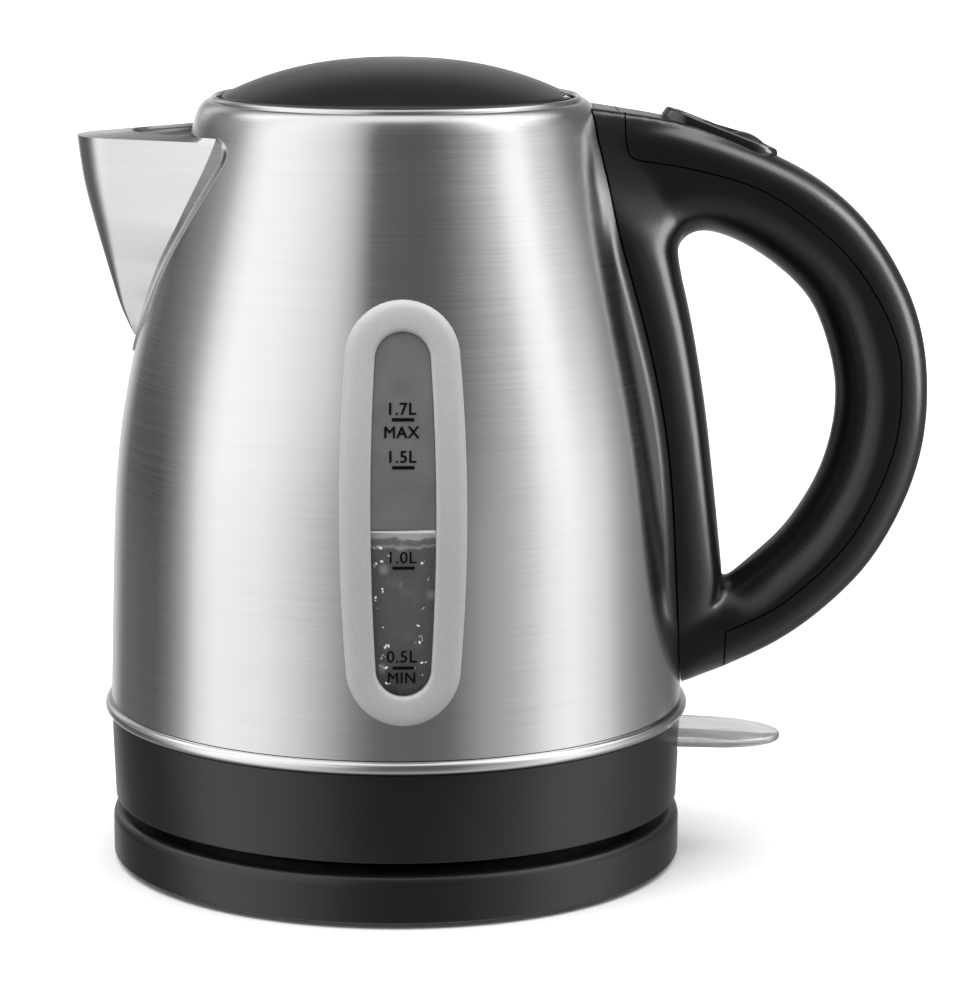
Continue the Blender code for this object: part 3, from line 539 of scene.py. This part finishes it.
def water_look():
    """Water against the window: darker towards the bottom as painted shade, with a painted bright meniscus
    band near the top, painted bright swirls and painted glints in small bubble-shaped spots.
    """
    material, tree, shader = new_material("water", (0.1, 0.1, 0.1), 0.05, IOR=1.33)
    where = place_in(tree)
    height = node(tree, "ShaderNodeSeparateXYZ", {0: where}).outputs["Z"]
    wave = noise(tree, where, 170.0, 4.0)
    swell = maths(tree, "MULTIPLY", maths(tree, "SUBTRACT", wave, 0.5), 0.0035)
    height = maths(tree, "ADD", height, swell)
    depth = between(tree, height, 0.0, 1.0, (WATER_Z - 46.0) * MM, WATER_Z * MM)
    # painted shade and highlight: the water darkens towards the bottom, and the bright bands near the top
    # are a painted meniscus
    body = ramp(tree, depth, [(0.0, 0.004), (0.08, 0.008), (0.13, 0.07), (0.22, 0.11), (0.8, 0.13),
                              (0.9, 0.15), (0.915, 0.5), (0.93, 0.22), (0.955, 0.3), (0.965, 0.95),
                              (1.0, 0.95)])
    # painted light: pale swirls where the ripples run
    painted_swirl_light = between(tree, wave, 0.0, 0.05, 0.55, 0.7)
    # painted glints: bright spots in small bubble-shaped cells
    cells = node(tree, "ShaderNodeTexVoronoi", {"Vector": where, "Scale": 230.0}, feature="F1")
    bubble_glint_spot = between(tree, cells.outputs["Distance"], 1.0, 0.0, 0.1, 0.42)
    cell = node(tree, "ShaderNodeSeparateXYZ", {0: cells.outputs["Color"]}).outputs["X"]
    painted_bubble_glint = maths(tree, "MULTIPLY", bubble_glint_spot, between(tree, cell, 0.0, 0.35, 0.6, 0.7))
    light = maths(tree, "ADD", painted_swirl_light, painted_bubble_glint)
    tree.links.new(mix(tree, light, body, grey(0.9)), shader.inputs["Base Color"])
    bump(tree, shader, wave, 0.0006, 0.5)
    return material


# the foam glows a little, painted light that makes the bubbles and the water line bright
GLOWING_FOAM = plastic(
    "glowing_foam", (0.85, 0.85, 0.85), 0.15, 0.5, 0.004, Emission_Color=(1, 1, 1, 1), Emission_Strength=0.4
)
CLEAR = clear_plastic()
LENS = lens_plastic()
WATER = water_look()


# ---------------------------------------------------------------- jug


def slot_cutter(shape, near, far):
    """A block with the slot's outline, between two Y values."""
    return prism("cut", [(a, WINDOW_Z + b) for a, b in slot_outline(shape)], (near, far))


def button_turn():
    """From the button's own axes to the kettle's."""
    return Matrix.Translation(BUTTON_CENTRE) @ Matrix.Rotation(BUTTON_SLOPE, 4, "Y")


def make_jug():
    """The shell with its rolled lip, and the bright bead at its foot."""
    outside = JUG_OUTLINE
    inside = [(r - WALL, z) for r, z in outside if z < 204.0]
    lip_inside = [(54.3, 206.4), (53.4, 209.2), (51.9, 211.0), (50.6, 211.5), (50.0, 211.0),
                  (50.0, FLANGE_LOW_Z)]
    profile = outside + [(49.0, FLANGE_LOW_Z)] + lip_inside[::-1] + inside[::-1]
    shell = lathe("jug_shell_look", profile)
    # openings for the window, the spout's mouth, the hinge bracket and the latch bar
    mouth = [(-24.0, 203.0), (24.0, 203.0), (0.0, 160.0)]
    combine(
        shell,
        slot_cutter(OPENING_OUTLINE, -100.0, -40.0),
        loft("cut", [[(x, y, z) for y, z in mouth] for x in (-95.0, -35.0)]),
        block("cut", (43.0, 49.7), (-9.6, 9.6), (204.4, 212.2)),
        block("cut", (-41.0, -28.0), (-LATCH_HALF, LATCH_HALF), (-9.2, -6.0), button_turn()),
    )
    dress(shell, "jug", BODY_STEEL, ["jug_shell"])
    bead = rounded([(77.2, 45.7, 0.5), (80.4, 45.8, 1.0), (81.6, 44.6, 1.2), (81.6, 43.1, 1.2),
                    (80.3, 42.0, 0.8), (77.2, 42.0, 0.3)], 6)
    dress(lathe("trim_ring_look", bead), "jug", BRIGHT_STEEL, ["trim_ring"], 50.0)


KEEL_PATH = smooth(KEEL, 6)


def along(path, height):
    """Where a path of (value, height) points that runs downwards is at a height."""
    for (v1, z1), (v2, z2) in zip(path, path[1:]):
        if z2 <= height <= z1:
            return lerp(v1, v2, (z1 - height) / max(z1 - z2, 1e-9))
    return path[-1][0]


def round_jug(degrees, height, out, side=1):
    """A point over the jug's -X side."""
    radius, angle = jug_radius(height) + out, radians(degrees)
    return -radius * cos(angle), side * radius * sin(angle), height


def spout_half(height):
    """Half of the spout's outline at a height: a blunt nose, then a flat panel to the crease."""
    nose_steps, panel_steps = 24, 12
    keel = along(KEEL_PATH, height)
    crease = round_jug(along(CREASE, height), height, 0.5)
    nose = min(SPOUT_NOSE_R, 0.55 * crease[1])
    reach = hypot(crease[0] - keel - nose, crease[1])
    touch = atan2(crease[1], crease[0] - keel - nose) + acos(min(nose / reach, 1.0))
    points = []
    for step in range(nose_steps + 1):
        angle = lerp(pi, touch, step / nose_steps)
        points.append((keel + nose + nose * cos(angle), nose * sin(angle)))
    x, y = points[-1]
    for step in range(1, panel_steps + 1):
        t = step / panel_steps
        points.append((lerp(x, crease[0], t), lerp(y, crease[1], t)))
    return points


def make_spout():
    """A V of sheet steel with a blunt keel, and the flange and rolled seam that join it to the jug."""
    levels = 48
    rows = []
    for step in range(levels + 1):
        height = lerp(KEEL[0][1], SPOUT_LOW_Z, step / levels)
        half = spout_half(height)
        rows.append([(x, y, height) for x, y in half[::-1]] + [(x, -y, height) for x, y in half[1:]])
    count = len(rows[0])
    faces = []
    for r in range(len(rows) - 1):
        for c in range(count - 1):
            a = r * count + c
            faces.append((a, a + 1, a + count + 1, a + count))
    spout = make_object("spout_look", [p for row in rows for p in row], faces)
    outwards = sum((face.normal for face in spout.data.polygons), Vector()).x < 0
    sheet = spout.modifiers.new("sheet", "SOLIDIFY")
    sheet.thickness = SPOUT_SHEET * MM
    sheet.offset = -1.0 if outwards else 1.0
    settle(spout)
    mend(spout)
    dress(spout, "jug", SPOUT_STEEL, ["spout"], 28.0)

    # how far the flange's surface stands off the jug, at distances in from its outer edge
    edge = ((0.0, -0.2), (0.05, 0.35), (0.25, 0.62), (0.5, 0.62), (0.72, 0.35), (0.86, 0.14), (1.0, 0.35),
            (1.2, 0.52))
    outline, crease = smooth(FLANGE, 5), smooth(CREASE, 5)
    for number, side in ((1, -1), (2, 1)):
        rows = []
        for (a1, z1), (a2, z2) in zip(outline, crease):
            width = max(hypot(radians(a1 - a2) * jug_radius(z1), z1 - z2), 0.05)
            ways = [(min(far / width, 1.0), out) for far, out in edge] + [(1.0, 0.5), (1.0, -0.4)]
            rows.append([round_jug(lerp(a1, a2, t), lerp(z1, z2, t), out, side) for t, out in ways])
        dress(loft(f"spout_flange_{number}", rows), "jug", SPOUT_STEEL, crease=24.0)


# ---------------------------------------------------------------- window


def strip(shape, z, trim, near, far):
    """One level of a slot-shaped plate: points on the jug at two distances from it."""
    half = max(slot_half_width(shape, z - WINDOW_Z) - trim, 0.3)
    across = [lerp(-half, half, k / 10) for k in range(11)]
    return [on_jug(a, z, near) for a in across] + [on_jug(a, z, far) for a in across[::-1]]


def make_window():
    """The milky frame, the lens, and the water behind it."""
    outer, inner = slot_outline(FRAME_OUTLINE), slot_outline(LENS_OUTLINE)
    # the frame's section, as (share of the way in, distance off the jug)
    bulge = ((0.0, 0.5), (0.04, 1.3), (0.13, 1.9), (0.3, 2.25), (0.6, 2.3), (0.86, 2.1), (0.96, 1.7),
             (1.0, 1.2))
    section = [(0.0, -0.1)] + smooth(bulge, 3) + [(1.0, -0.1)]
    rows = []
    for (a1, b1), (a2, b2) in zip(outer, inner):
        rows.append([on_jug(lerp(a1, a2, t), WINDOW_Z + lerp(b1, b2, t), out) for t, out in section])
    dress(loft("window_frame_look", rows, ring=True), "jug", MILKY, ["window_frame"])

    reach = LENS_OUTLINE[2] - 0.15
    levels = [WINDOW_Z + lerp(-reach, reach, 0.5 - 0.5 * cos(pi * k / 120)) for k in range(121)]
    lens = loft("window_lens_look", [strip(LENS_OUTLINE, z, 0.12, LENS_OUT, LENS_IN) for z in levels])
    dress(lens, "jug", LENS, ["window_lens"])

    # the water in the jug, less the clamp's room, and then what fills the opening
    levels = [lerp(WATER_Z, WATER_LOW_Z, k / 20) for k in range(21)]
    side = [(jug_radius(z) - WALL - 0.4, z) for z in levels]
    water = lathe("water", [(0.0, WATER_Z)] + side + [(0.0, WATER_LOW_Z)], 128)
    combine(water, slot_cutter(CLAMP_OUTLINE, -100.0, -jug_radius(WATER_Z) + 2.6))
    levels = [lerp(WINDOW_Z - FILL_OUTLINE[2], WATER_Z, k / 80) for k in range(81)]
    combine(water, loft("fill", [strip(FILL_OUTLINE, z, 0.0, -1.2, -8.0) for z in levels]), how="UNION")
    dress(water, "jug", WATER)


def make_bubbles():
    """Air bubbles on the window's inside, and the line where the water meets it, both glowing a little as a
    painted highlight.
    """
    shape = bmesh.new()
    dice = Random(5)
    chains = [(dice.choice((-1, 1)), lerp(66.0, WATER_Z - 3.0, dice.random())) for _ in range(26)]
    for side, start in chains:
        half = slot_half_width(LENS_OUTLINE, start - WINDOW_Z) - 0.8
        across, height = side * (half - 4.5 * dice.random() ** 1.5), start
        for _ in range(dice.randint(1, 6)):
            size = (0.1 + 0.26 * dice.random() ** 3) * MM
            at = Matrix.Translation(Vector(on_jug(across, height, -1.1)) * MM)
            bmesh.ops.create_icosphere(shape, subdivisions=2, radius=size, matrix=at)
            across += dice.uniform(-0.2, 0.55) * -side
            height += dice.uniform(-0.5, 0.6)
    mesh = bpy.data.meshes.new("bubbles")
    shape.to_mesh(mesh)
    shape.free()
    dress(add("bubbles", mesh), "jug", GLOWING_FOAM, crease=180.0)
    # the water line: a thin glowing tube, a painted highlight along the meniscus
    width = slot_half_width(LENS_OUTLINE, WATER_Z - WINDOW_Z) - 0.2
    path = [on_jug(lerp(-width, width, k / 16), WATER_Z - 0.1, -1.15) for k in range(17)]
    dress(tube("glowing_water_line", path, lambda t: lerp(0.2, 0.42, t)), "jug", GLOWING_FOAM, crease=180.0)


def printed(words, height, size, shift):
    """One word of the scale, laid on the lens."""
    curve = bpy.data.curves.new("mark", "FONT")
    curve.body = words
    curve.align_x = "CENTER"
    curve.size = size * 1.28
    curve.extrude = 0.06
    curve.space_character = 1.08
    curve.resolution_u = 4
    text = add("mark", curve)
    mesh = evaluated(text)
    bpy.data.objects.remove(text)
    for vertex in mesh.vertices:
        x, y, z = vertex.co
        out = 1.2 + z + shift / 5
        vertex.co = Vector(on_jug(x * 0.98 - 0.5 + shift, height + y + shift / 2, out)) * MM
    return add("mark", mesh)


def make_marks():
    """The litre scale printed on the window."""
    texts = (("0.5L", 72.5, 3.45), ("MIN", 67.0, 3.2), ("1.0L", 98.6, 3.4), ("1.5L", 124.6, 3.4),
             ("1.7L", 136.8, 3.4), ("MAX", 130.9, 3.3))
    # each word is set twice, a little apart, which thickens its strokes
    things = [printed(*text, shift) for text in texts for shift in (-0.07, 0.07)]
    corners = ((-0.42, 1.1), (0.42, 1.1), (0.42, 1.22), (-0.42, 1.22))
    for height in (71.0, 97.3, 123.3, 135.5):
        across = [lerp(-2.9, 2.9, k / 12) for k in range(13)]
        things.append(loft("mark", [[on_jug(a, height + dz, out) for dz, out in corners] for a in across]))
    marks = things[0]
    with bpy.context.temp_override(
        active_object=marks, object=marks, selected_objects=things, selected_editable_objects=things
    ):
        bpy.ops.object.join()
    marks.name = "litre_scale"
    mend(marks)
    dress(marks, "jug", INK)


# ---------------------------------------------------------------- base, skirt and lever


def make_base():
    """The power base's cover and the skirt above it."""
    cover = rounded([(18.5, 14.5, 0), (79.7, 14.5, 3.4), (79.7, 1.4, 0.9), (77.7, 1.4, 0), (77.7, 10.3, 0),
                     (76.0, 12.5, 0), (18.5, 12.5, 0)], 8)
    thing = lathe("base_cover_look", cover)
    combine(thing, block("cut", (-4.6, 4.6), (70.0, 90.0), (3.6, 10.4)))
    dress(thing, "power_base", SKIRT_BLACK, ["base_cover"])
    skirt = rounded([(76.7, 41.8, 0), (79.7, 41.8, 0.3), (79.65, 36.0, 0), (78.9, 17.6, 0.8),
                     (76.7, 17.6, 0)], 5)
    thing = lathe("skirt_look", skirt)
    combine(thing, block("cut", (70.0, 85.0), (-14.8, 14.8), (29.4, 37.0)))
    dress(thing, "jug", SKIRT_BLACK, ["skirt"])


def make_lever():
    """A clear tongue with rounded edges, on a knuckle that the pin goes through."""
    x0, _, z0 = LEVER_PIN
    turn = (Matrix.Translation(LEVER_PIN) @ Matrix.Rotation(LEVER_DROOP, 4, "Y")
            @ Matrix.Translation(-Vector(LEVER_PIN)))
    half = [(x0 + 1.0, LEVER_HALF), (x0 + 8.0, LEVER_HALF), (x0 + 16.0, LEVER_HALF - 0.1)]
    for a in (radians(d) for d in range(8, 90, 6)):
        half.append((LEVER_TIP_X - LEVER_ROUND + LEVER_ROUND * sin(a), LEVER_HALF * cos(a)))
    outline = half + [(LEVER_TIP_X, 0.0)] + [(x, -y) for x, y in half[::-1]]

    def row(inset, level):
        """The outline pulled in, at a share of the tongue's half-thickness; its top thins to the tip."""
        points = []
        for x, y in outline:
            top = lerp(1.5, 0.8, max(0.0, min(1.0, (x - x0 - 12.0) / 28.0)))
            if x > x0 + 3:
                x -= inset * (x - x0) / (LEVER_TIP_X - x0)
            z = z0 + level * (top if level > 0 else 1.5)
            points.append(tuple(turn @ Vector((x, y * (LEVER_HALF - inset) / LEVER_HALF, z))))
        return points

    edge = ((0.9, -1.0), (0.35, -0.85), (0.0, -0.5), (0.0, 0.4), (0.35, 0.85), (0.9, 1.0))
    lever = loft("switch_lever_look", [row(inset, level) for inset, level in edge])
    combine(lever, bar("knuckle", x0, z0, 2.9, LEVER_HALF, 32), how="UNION")
    combine(lever, bar("bore", x0, z0, 1.5, 20.0, 24))
    dress(lever, "lever", CLEAR, ["switch_lever"])
    return lever


# ---------------------------------------------------------------- handle


def jug_cutter(by):
    """The jug's outside, grown by a distance, as a solid."""
    top = [(0.0, 212.7 + by)] + [(r + by, z) for r, z in JUG_OUTLINE[::-1] if r > 52.0]
    return lathe("cut", top + [(SIDE[0][0] + by, 20.0), (0.0, 20.0)])


def superellipse(across, half, power, steps=9):
    """(y, inset) pairs of a rounded edge: inset is 0 at mid-thickness and across at y = half."""
    pairs = []
    for step in range(steps + 1):
        angle = pi / 2 * step / steps
        pairs.append((half * sin(angle) ** (2 / power), across * (1 - cos(angle) ** (2 / power))))
    return pairs


def make_loop(outer):
    """The D of the handle, with rounded edges inside and out."""
    hole = smooth(HOLE, 6, closed=True)

    def both_ways(pairs):
        return [(-y, inset) for y, inset in pairs[::-1]] + pairs[1:]

    def outline(inset):
        return offset(outer, inset) + [(80.0, 48.9 + inset * 0.7), (60.0, 48.0 + inset), (46.0, 200.0)]

    loop = puffed("handle_frame_look", outline, both_ways(superellipse(11.0, HANDLE_HALF, 2.8)))
    flare = superellipse(13.0, HANDLE_HALF, 1.65)[:-1] + [(HANDLE_HALF, 12.6), (22.0, 13.0)]
    return combine(loop, puffed("cut", lambda inset: offset(hole, inset, closed=True), both_ways(flare)))


def make_pad(outer):
    """The wide pillar that leans on the jug and flows into the loop."""
    rows = []
    for z, half, reach, square in smooth(PAD, 3):
        radius = jug_radius(min(z, 211.0))
        back = sqrt(max(radius**2 - half**2, 100.0)) - 1.5
        row = [(back - 4.0, half), (back - 4.0, -half)]
        for k in range(49):
            angle = -pi / 2 + pi * k / 48
            bulge, lean = abs(cos(angle)) ** (2 / square), abs(sin(angle)) ** (2 / square)
            row.append((back + (reach - back) * bulge, half * (lean if angle > 0 else -lean)))
        rows.append([(x, y, z) for x, y in row])
    limit = [(46.0, 211.3)] + outer[:40] + [(160.0, 150.0), (160.0, 40.0), (40.0, 40.0)]
    return combine(loft("pad", rows), prism("limit", limit, (-40.0, 40.0)), how="INTERSECT")


def soften(thing):
    """Remesh a thing into an even grid and smooth it, so that its pieces flow together."""
    grid = thing.modifiers.new("grid", "REMESH")
    grid.mode = "VOXEL"
    grid.voxel_size = VOXEL * MM
    relax = thing.modifiers.new("relax", "SMOOTH")
    relax.factor = 0.5
    relax.iterations = 20
    settle(thing)


def seam_cutter():
    """The gap between the handle's frame and its cover.

    It steps aside in the middle, like a tongue in a groove, so that no light comes through.
    """
    start = ((SEAM_FRONT_X, 216.0), (SEAM_FRONT_X, 210.0), (SEAM_FRONT_X, 203.5), (62.6, 199.3))
    seam = smooth(start + SEAM, 6) + [(SEAM_BACK_X, z) for z in (60.0, 50.0, 40.0)]
    g, step_y, step = SEAM_GAP / 2, 7.0, 1.4
    section = [(-g, -30.0), (g, -30.0), (g, -step_y - g), (step + g, -step_y - g), (step + g, step_y + g),
               (g, step_y + g), (g, 30.0), (-g, 30.0), (-g, step_y - g), (step - g, step_y - g),
               (step - g, -step_y + g), (-g, -step_y + g)]
    sides = [offset(seam, out) for out, _ in section]
    rows = []
    for n in range(len(seam)):
        rows.append([(side[n][0], y, side[n][1]) for side, (_, y) in zip(sides, section)])
    return loft("cut", rows)


def make_handle():
    """The loop and the pad in one, with the button's seat and the cover's seam cut in."""
    outer = smooth(OUTER, 6)
    handle = make_loop(outer)
    combine(handle, make_pad(outer), how="UNION")
    soften(handle)

    turn = button_turn()
    seat = slot_outline(SEAT_OUTLINE, 16, 4)
    pocket = loft("cut", [[tuple(turn @ Vector((b, a, w))) for a, b in seat] for w in (-2.6, 14.0)])
    # the jug, the bezel's seat, room for the button's spring and the latch bar, and the seam
    combine(
        handle,
        jug_cutter(HANDLE_GAP),
        pocket,
        block("cut", (-13.6, 13.6), (-5.2, 5.2), (-6.5, -2.0), turn),
        block("cut", (-45.0, -8.0), (-3.4, 3.4), (-9.0, -6.2), turn),
        seam_cutter(),
    )
    return handle


def split_handle(handle):
    """Part the cut handle into its frame and its cover, which holds the outermost point."""
    shape = bmesh.new()
    shape.from_mesh(handle.data)
    start = max(shape.verts, key=lambda v: v.co.x)
    reached, queue = {start}, [start]
    while queue:
        for edge in queue.pop().link_edges:
            for vertex in edge.verts:
                if vertex not in reached:
                    reached.add(vertex)
                    queue.append(vertex)
    inside = {v.index for v in reached}
    shape.free()
    meshes = []
    for keep in (False, True):
        part = bmesh.new()
        part.from_mesh(handle.data)
        part.verts.ensure_lookup_table()
        bmesh.ops.delete(part, geom=[v for v in part.verts if (v.index in inside) != keep], context="VERTS")
        mesh = bpy.data.meshes.new(handle.name)
        part.to_mesh(mesh)
        part.free()
        meshes.append(mesh)
    return meshes


def make_button():
    """The glossy bezel on the handle's top and the rocking button in it."""
    turn = button_turn()

    def top(along):
        """The bezel's height, which falls away from the jug."""
        return 2.3 - 0.035 * (along + BEZEL_OUTER[2])

    outer = slot_outline(BEZEL_OUTER, 20, 12)
    inner = slot_outline(BEZEL_INNER, 20, 12)
    section = rounded([(0.0, -2.2, 0), (0.0, 0.0, 1.3), (0.22, 1.0, 0.6), (0.8, 1.0, 0.5),
                       (1.0, 0.72, 0.5), (1.0, -2.2, 0)], 5)
    rows = []
    for (a1, b1), (a2, b2) in zip(outer, inner):
        row = []
        for t, level in section:
            a, b = lerp(a1, a2, t), lerp(b1, b2, t)
            w = level if level < 0 else level * top(b)
            row.append(tuple(turn @ Vector((b, a, w))))
        rows.append(row)
    bezel = loft("button_bezel_look", rows, ring=True)
    dress(bezel, "jug", GLOSS_BLACK, ["button_bezel"])

    def hump(a, b):
        """The ridge across the button that the thumb pushes."""
        return 1.25 * max(0.0, 1 - ((b - 7.6) / 5.2) ** 2) * max(0.0, 1 - (a / 5.4) ** 2)

    rim = slot_outline(BUTTON_OUTLINE, 20, 12)
    rows = []
    for scale, level in ((1.0, -0.7), (1.0, 0.0), (0.97, 0.25), (0.9, 0.42), (0.7, 0.5), (0.45, 0.52),
                         (0.2, 0.53), (0.03, 0.53)):
        row = []
        for a, b in rim:
            a, b = a * scale, b * (scale if scale > 0.9 else lerp(0.62, 1.0, scale))
            w = level if level < 0 else 1.0 - 0.02 * b + level + (hump(a, b) if level > 0.2 else 0.0)
            row.append(tuple(turn @ Vector((b, a, w))))
        rows.append(row)
    dress(loft("lid_button_look", rows), "button", LID_BLACK, ["lid_button"])
    return bezel


# ---------------------------------------------------------------- lid


def make_lid():
    """The domed cover, with room for the hinge and for the jug's lip at its back."""
    dome = [(LID_DOME_R * k / 48, LID_TOP_Z - LID_DROP * (k / 48) ** 2.4) for k in range(49)]
    edge = smooth([(47.5, 213.0), (47.7, 212.2), (47.5, 210.8), (46.4, 207.8), (45.6, 206.6)], 4)
    inside = [(43.8, 206.6), (43.4, 210.6)] + [(r * 0.93, z - 2.2) for r, z in dome[::-4]]
    lid = lathe("lid_cover_look", dome + edge + inside)
    combine(lid, block("cut", (38.0, 52.0), (-13.6, 13.6), (205.0, 213.1)))
    # relief at the back, so that the cover clears the jug's rolled lip as it swings up
    rim = [(48.8, 205.0), (48.8, 212.9), (49.2, 213.3), (49.8, 213.5), (50.6, 213.2), (51.2, 212.3),
           (52.7, 211.8), (54.1, 210.3), (56.0, 205.0)]
    pin = Matrix.Translation(Vector(LID_PIN) * MM)
    for degrees in LID_OPENINGS:
        lip = lathe("cut", rim, 96)
        lip.data.transform(pin @ Matrix.Rotation(radians(-degrees), 4, "Y") @ pin.inverted())
        combine(lid, lip)
    dress(lid, "lid", LID_BLACK, ["lid_cover"])


def make_hinge_bracket():
    """Two narrow cheeks on a floor, under the rolled lip."""
    (x1, x2), (z1, z2) = (44.8, 48.0), (201.8, 212.0)
    hinge = block("hinge_bracket_look", (x1, x2), (9.8, 12.0), (z1, z2))
    combine(
        hinge,
        block("cheek", (x1, x2), (-12.0, -9.8), (z1, z2)),
        block("plate", (x1, 51.5), (-12.0, 12.0), (z1, 204.2)),
        how="UNION",
    )
    dress(hinge, "jug", LID_BLACK, ["hinge_bracket"], 40.0)


# ---------------------------------------------------------------- assembly

make_jug()
make_spout()
make_window()
make_bubbles()
make_marks()
make_base()
lever = make_lever()
make_lid()
bezel = make_button()
handle = make_handle()
frame_mesh, cover_mesh = split_handle(handle)
handle.data = frame_mesh
cover = add("handle_cover_look", cover_mesh)
dress(handle, "jug", HANDLE_BLACK, ["handle_frame"], 40.0)
dress(cover, "jug", HANDLE_BLACK, ["handle_cover"], 40.0)

make_hinge_bracket()

# finishes of the CAD pieces that stay; the others are bright steel
CARRIED = (
    (RUBBER, ("foot_1", "foot_2", "foot_3", "foot_4")),
    (SKIRT_BLACK, ("base_plate", "cord_inlet", "connector_post", "control_body", "connector_socket",
                   "skirt_bottom", "hinge_arm")),
    (GREY_PLASTIC, ("turning_collar", "filter_frame", "window_clamp", "steam_tube", "switch_frame",
                    "lid_latch")),
    (SILICONE, ("window_seal", "plate_seal")),
    (BRASS, ("line_contact", "neutral_contact", "earth_contact", "line_pin", "neutral_ring", "earth_ring",
             "bimetal_disc")),
    (ALUMINIUM, ("heating_element",)),
    (CLEAR, ("indicator_lamp",)),
    (BODY_STEEL, ("lid_plate", "heating_plate")),
)
finishes = {name: material for material, names in CARRIED for name in names}
for name, thing in frame["nodes"].items():
    if not thing.hide_render:
        thing.data.materials.clear()
        thing.data.materials.append(finishes.get(name, BRIGHT_STEEL))


# ---------------------------------------------------------------- floor, light and camera


def make_floor():
    """A white ground that shows the kettle's shadow, but gives no light back."""
    floor = block("floor", (-FLOOR_HALF, FLOOR_HALF), (-FLOOR_HALF, FLOOR_HALF), (-FLOOR_DEPTH, 0.0))
    material, tree, shader = new_material("floor", (0.9, 0.9, 0.9), 0.9)
    shader.inputs["Specular IOR Level"].default_value = 0.0
    tree.links.new(between(tree, noise(tree, place_in(tree), 3.0), 0.88, 0.92), shader.inputs["Roughness"])
    floor.data.materials.append(material)
    floor.visible_glossy = False
    floor.visible_diffuse = False
    floor.visible_shadow = False


def make_world():
    """A soft studio: tall soft boxes left and right of the camera, and a pale wall behind the kettle."""
    world = bpy.data.worlds.new("studio")
    bpy.context.scene.world = world
    world.use_nodes = True
    tree = world.node_tree
    at = node(tree, "ShaderNodeSeparateXYZ", {0: node(tree, "ShaderNodeTexCoord").outputs["Generated"]})
    heading = maths(tree, "ARCTAN2", at.outputs["X"], maths(tree, "MULTIPLY", at.outputs["Y"], -1.0))
    turn = maths(tree, "ADD", maths(tree, "DIVIDE", heading, 2 * pi), 0.5)
    # radiance by heading, in degrees from -Y towards +X: level with the kettle, above it, and high up
    level = ((-180, 1.0), (-162, 0.75), (-146, 0.12), (-113, 0.06), (-103, 0.22), (-95, 0.55), (-88, 1.15),
             (-78, 1.42), (-55, 1.25), (-42, 0.95), (-29, 0.59), (-18, 0.26), (-8, 0.12), (8, 0.11),
             (20, 0.14), (32, 0.42), (46, 0.62), (54, 0.85), (62, 1.25), (73, 1.45), (82, 1.27), (92, 1.0),
             (100, 0.6), (110, 0.36), (124, 0.2), (146, 0.1), (165, 0.6), (180, 1.0))
    above = ((-180, 0.42), (-172, 0.42), (-162, 0.3), (-150, 0.9), (-136, 0.24), (-118, 0.36), (-102, 0.52),
             (-90, 1.1), (-79, 1.42), (-57, 1.3), (-40, 1.1), (-30, 0.94), (-22, 0.66), (-14, 0.15),
             (8, 0.11), (24, 0.14), (36, 0.3), (53, 0.7), (62, 1.28), (72, 1.45), (83, 0.9), (96, 0.66),
             (108, 0.34), (124, 0.18), (150, 0.2), (165, 0.4), (180, 0.42))
    high = ((-180, 0.08), (-150, 0.15), (-134, 0.4), (-121, 1.7), (-104, 1.6), (-90, 1.2), (-79, 1.42),
            (-57, 1.3), (-40, 1.1), (-22, 0.5), (-12, 0.15), (20, 0.13), (36, 0.35), (50, 0.9), (62, 1.7),
            (80, 2.1), (102, 1.8), (117, 1.6), (130, 0.4), (150, 0.1), (180, 0.08))
    level, above, high = (
        ramp(tree, turn, [(0.5 + degrees / 360, light / WORLD_PEAK) for degrees, light in band])
        for band in (level, above, high)
    )
    rise = at.outputs["Z"]  # -1 at the nadir, 1 at the zenith
    sky = mix(tree, between(tree, rise, 0.0, 1.0, 0.0, 0.2), level, above)
    fall = between(tree, rise, 0.0, 1.0, -1.0, 0.0)
    dim = ramp(tree, fall, [(0.0, 0.9), (0.36, 0.5), (0.6, 0.12), (0.81, 0.22), (0.93, 0.0)])
    sky = mix(tree, dim, sky, grey(0.15))
    sky = mix(tree, between(tree, rise, 0.0, 1.0, 0.42, 0.62), sky, high)
    sky = mix(tree, between(tree, rise, 0.0, 1.0, 0.86, 0.97), sky, grey(0.42))
    background = tree.nodes["Background"]
    tree.links.new(sky, background.inputs["Color"])
    background.inputs["Strength"].default_value = WORLD_PEAK


def make_sun():
    """Soft light from above, which leaves no reflection of its own."""
    data = bpy.data.lights.new("overhead", "SUN")
    data.energy = 3.1
    data.angle = radians(85)
    sun = add("overhead", data)
    sun.location = (0.0, 0.0, 2.0)
    sun.visible_glossy = False


def make_edge_lights(pieces):
    """Soft light from the right that falls on the handle, its bezel and the lever only."""
    group = bpy.data.collections.new("handle_pieces")
    for piece in pieces:
        group.objects.link(piece)
    for number, (elevation, energy) in enumerate(EDGE_LIGHTS, 1):
        data = bpy.data.lights.new("edge_light", "SUN")
        data.energy = energy
        data.angle = radians(30)
        sun = add(f"edge_light_{number}", data)
        sun.location = (1.0, 0.0, 1.0)
        sun.rotation_euler = (0.0, radians(90 - elevation), radians(-6))
        sun.light_linking.receiver_collection = group


def make_camera():
    """The photo's camera, a little above the kettle and a little to its left."""
    data = bpy.data.cameras.new("camera")
    data.lens = 136.2
    data.sensor_width = 36.0
    data.shift_x = 0.089
    data.clip_end = 100.0
    camera = add("camera", data)
    x, y = -CAMERA_DISTANCE * sin(CAMERA_HEADING), -CAMERA_DISTANCE * cos(CAMERA_HEADING)
    camera.location = (x, y, CAMERA_HEIGHT)
    camera.rotation_euler = (pi / 2 - CAMERA_TILT, 0.0, -CAMERA_HEADING)
    bpy.context.scene.camera = camera


make_floor()
make_world()
make_sun()
make_edge_lights([handle, cover, bezel, lever])
make_camera()
bpy.context.scene.view_settings.view_transform = "Standard"
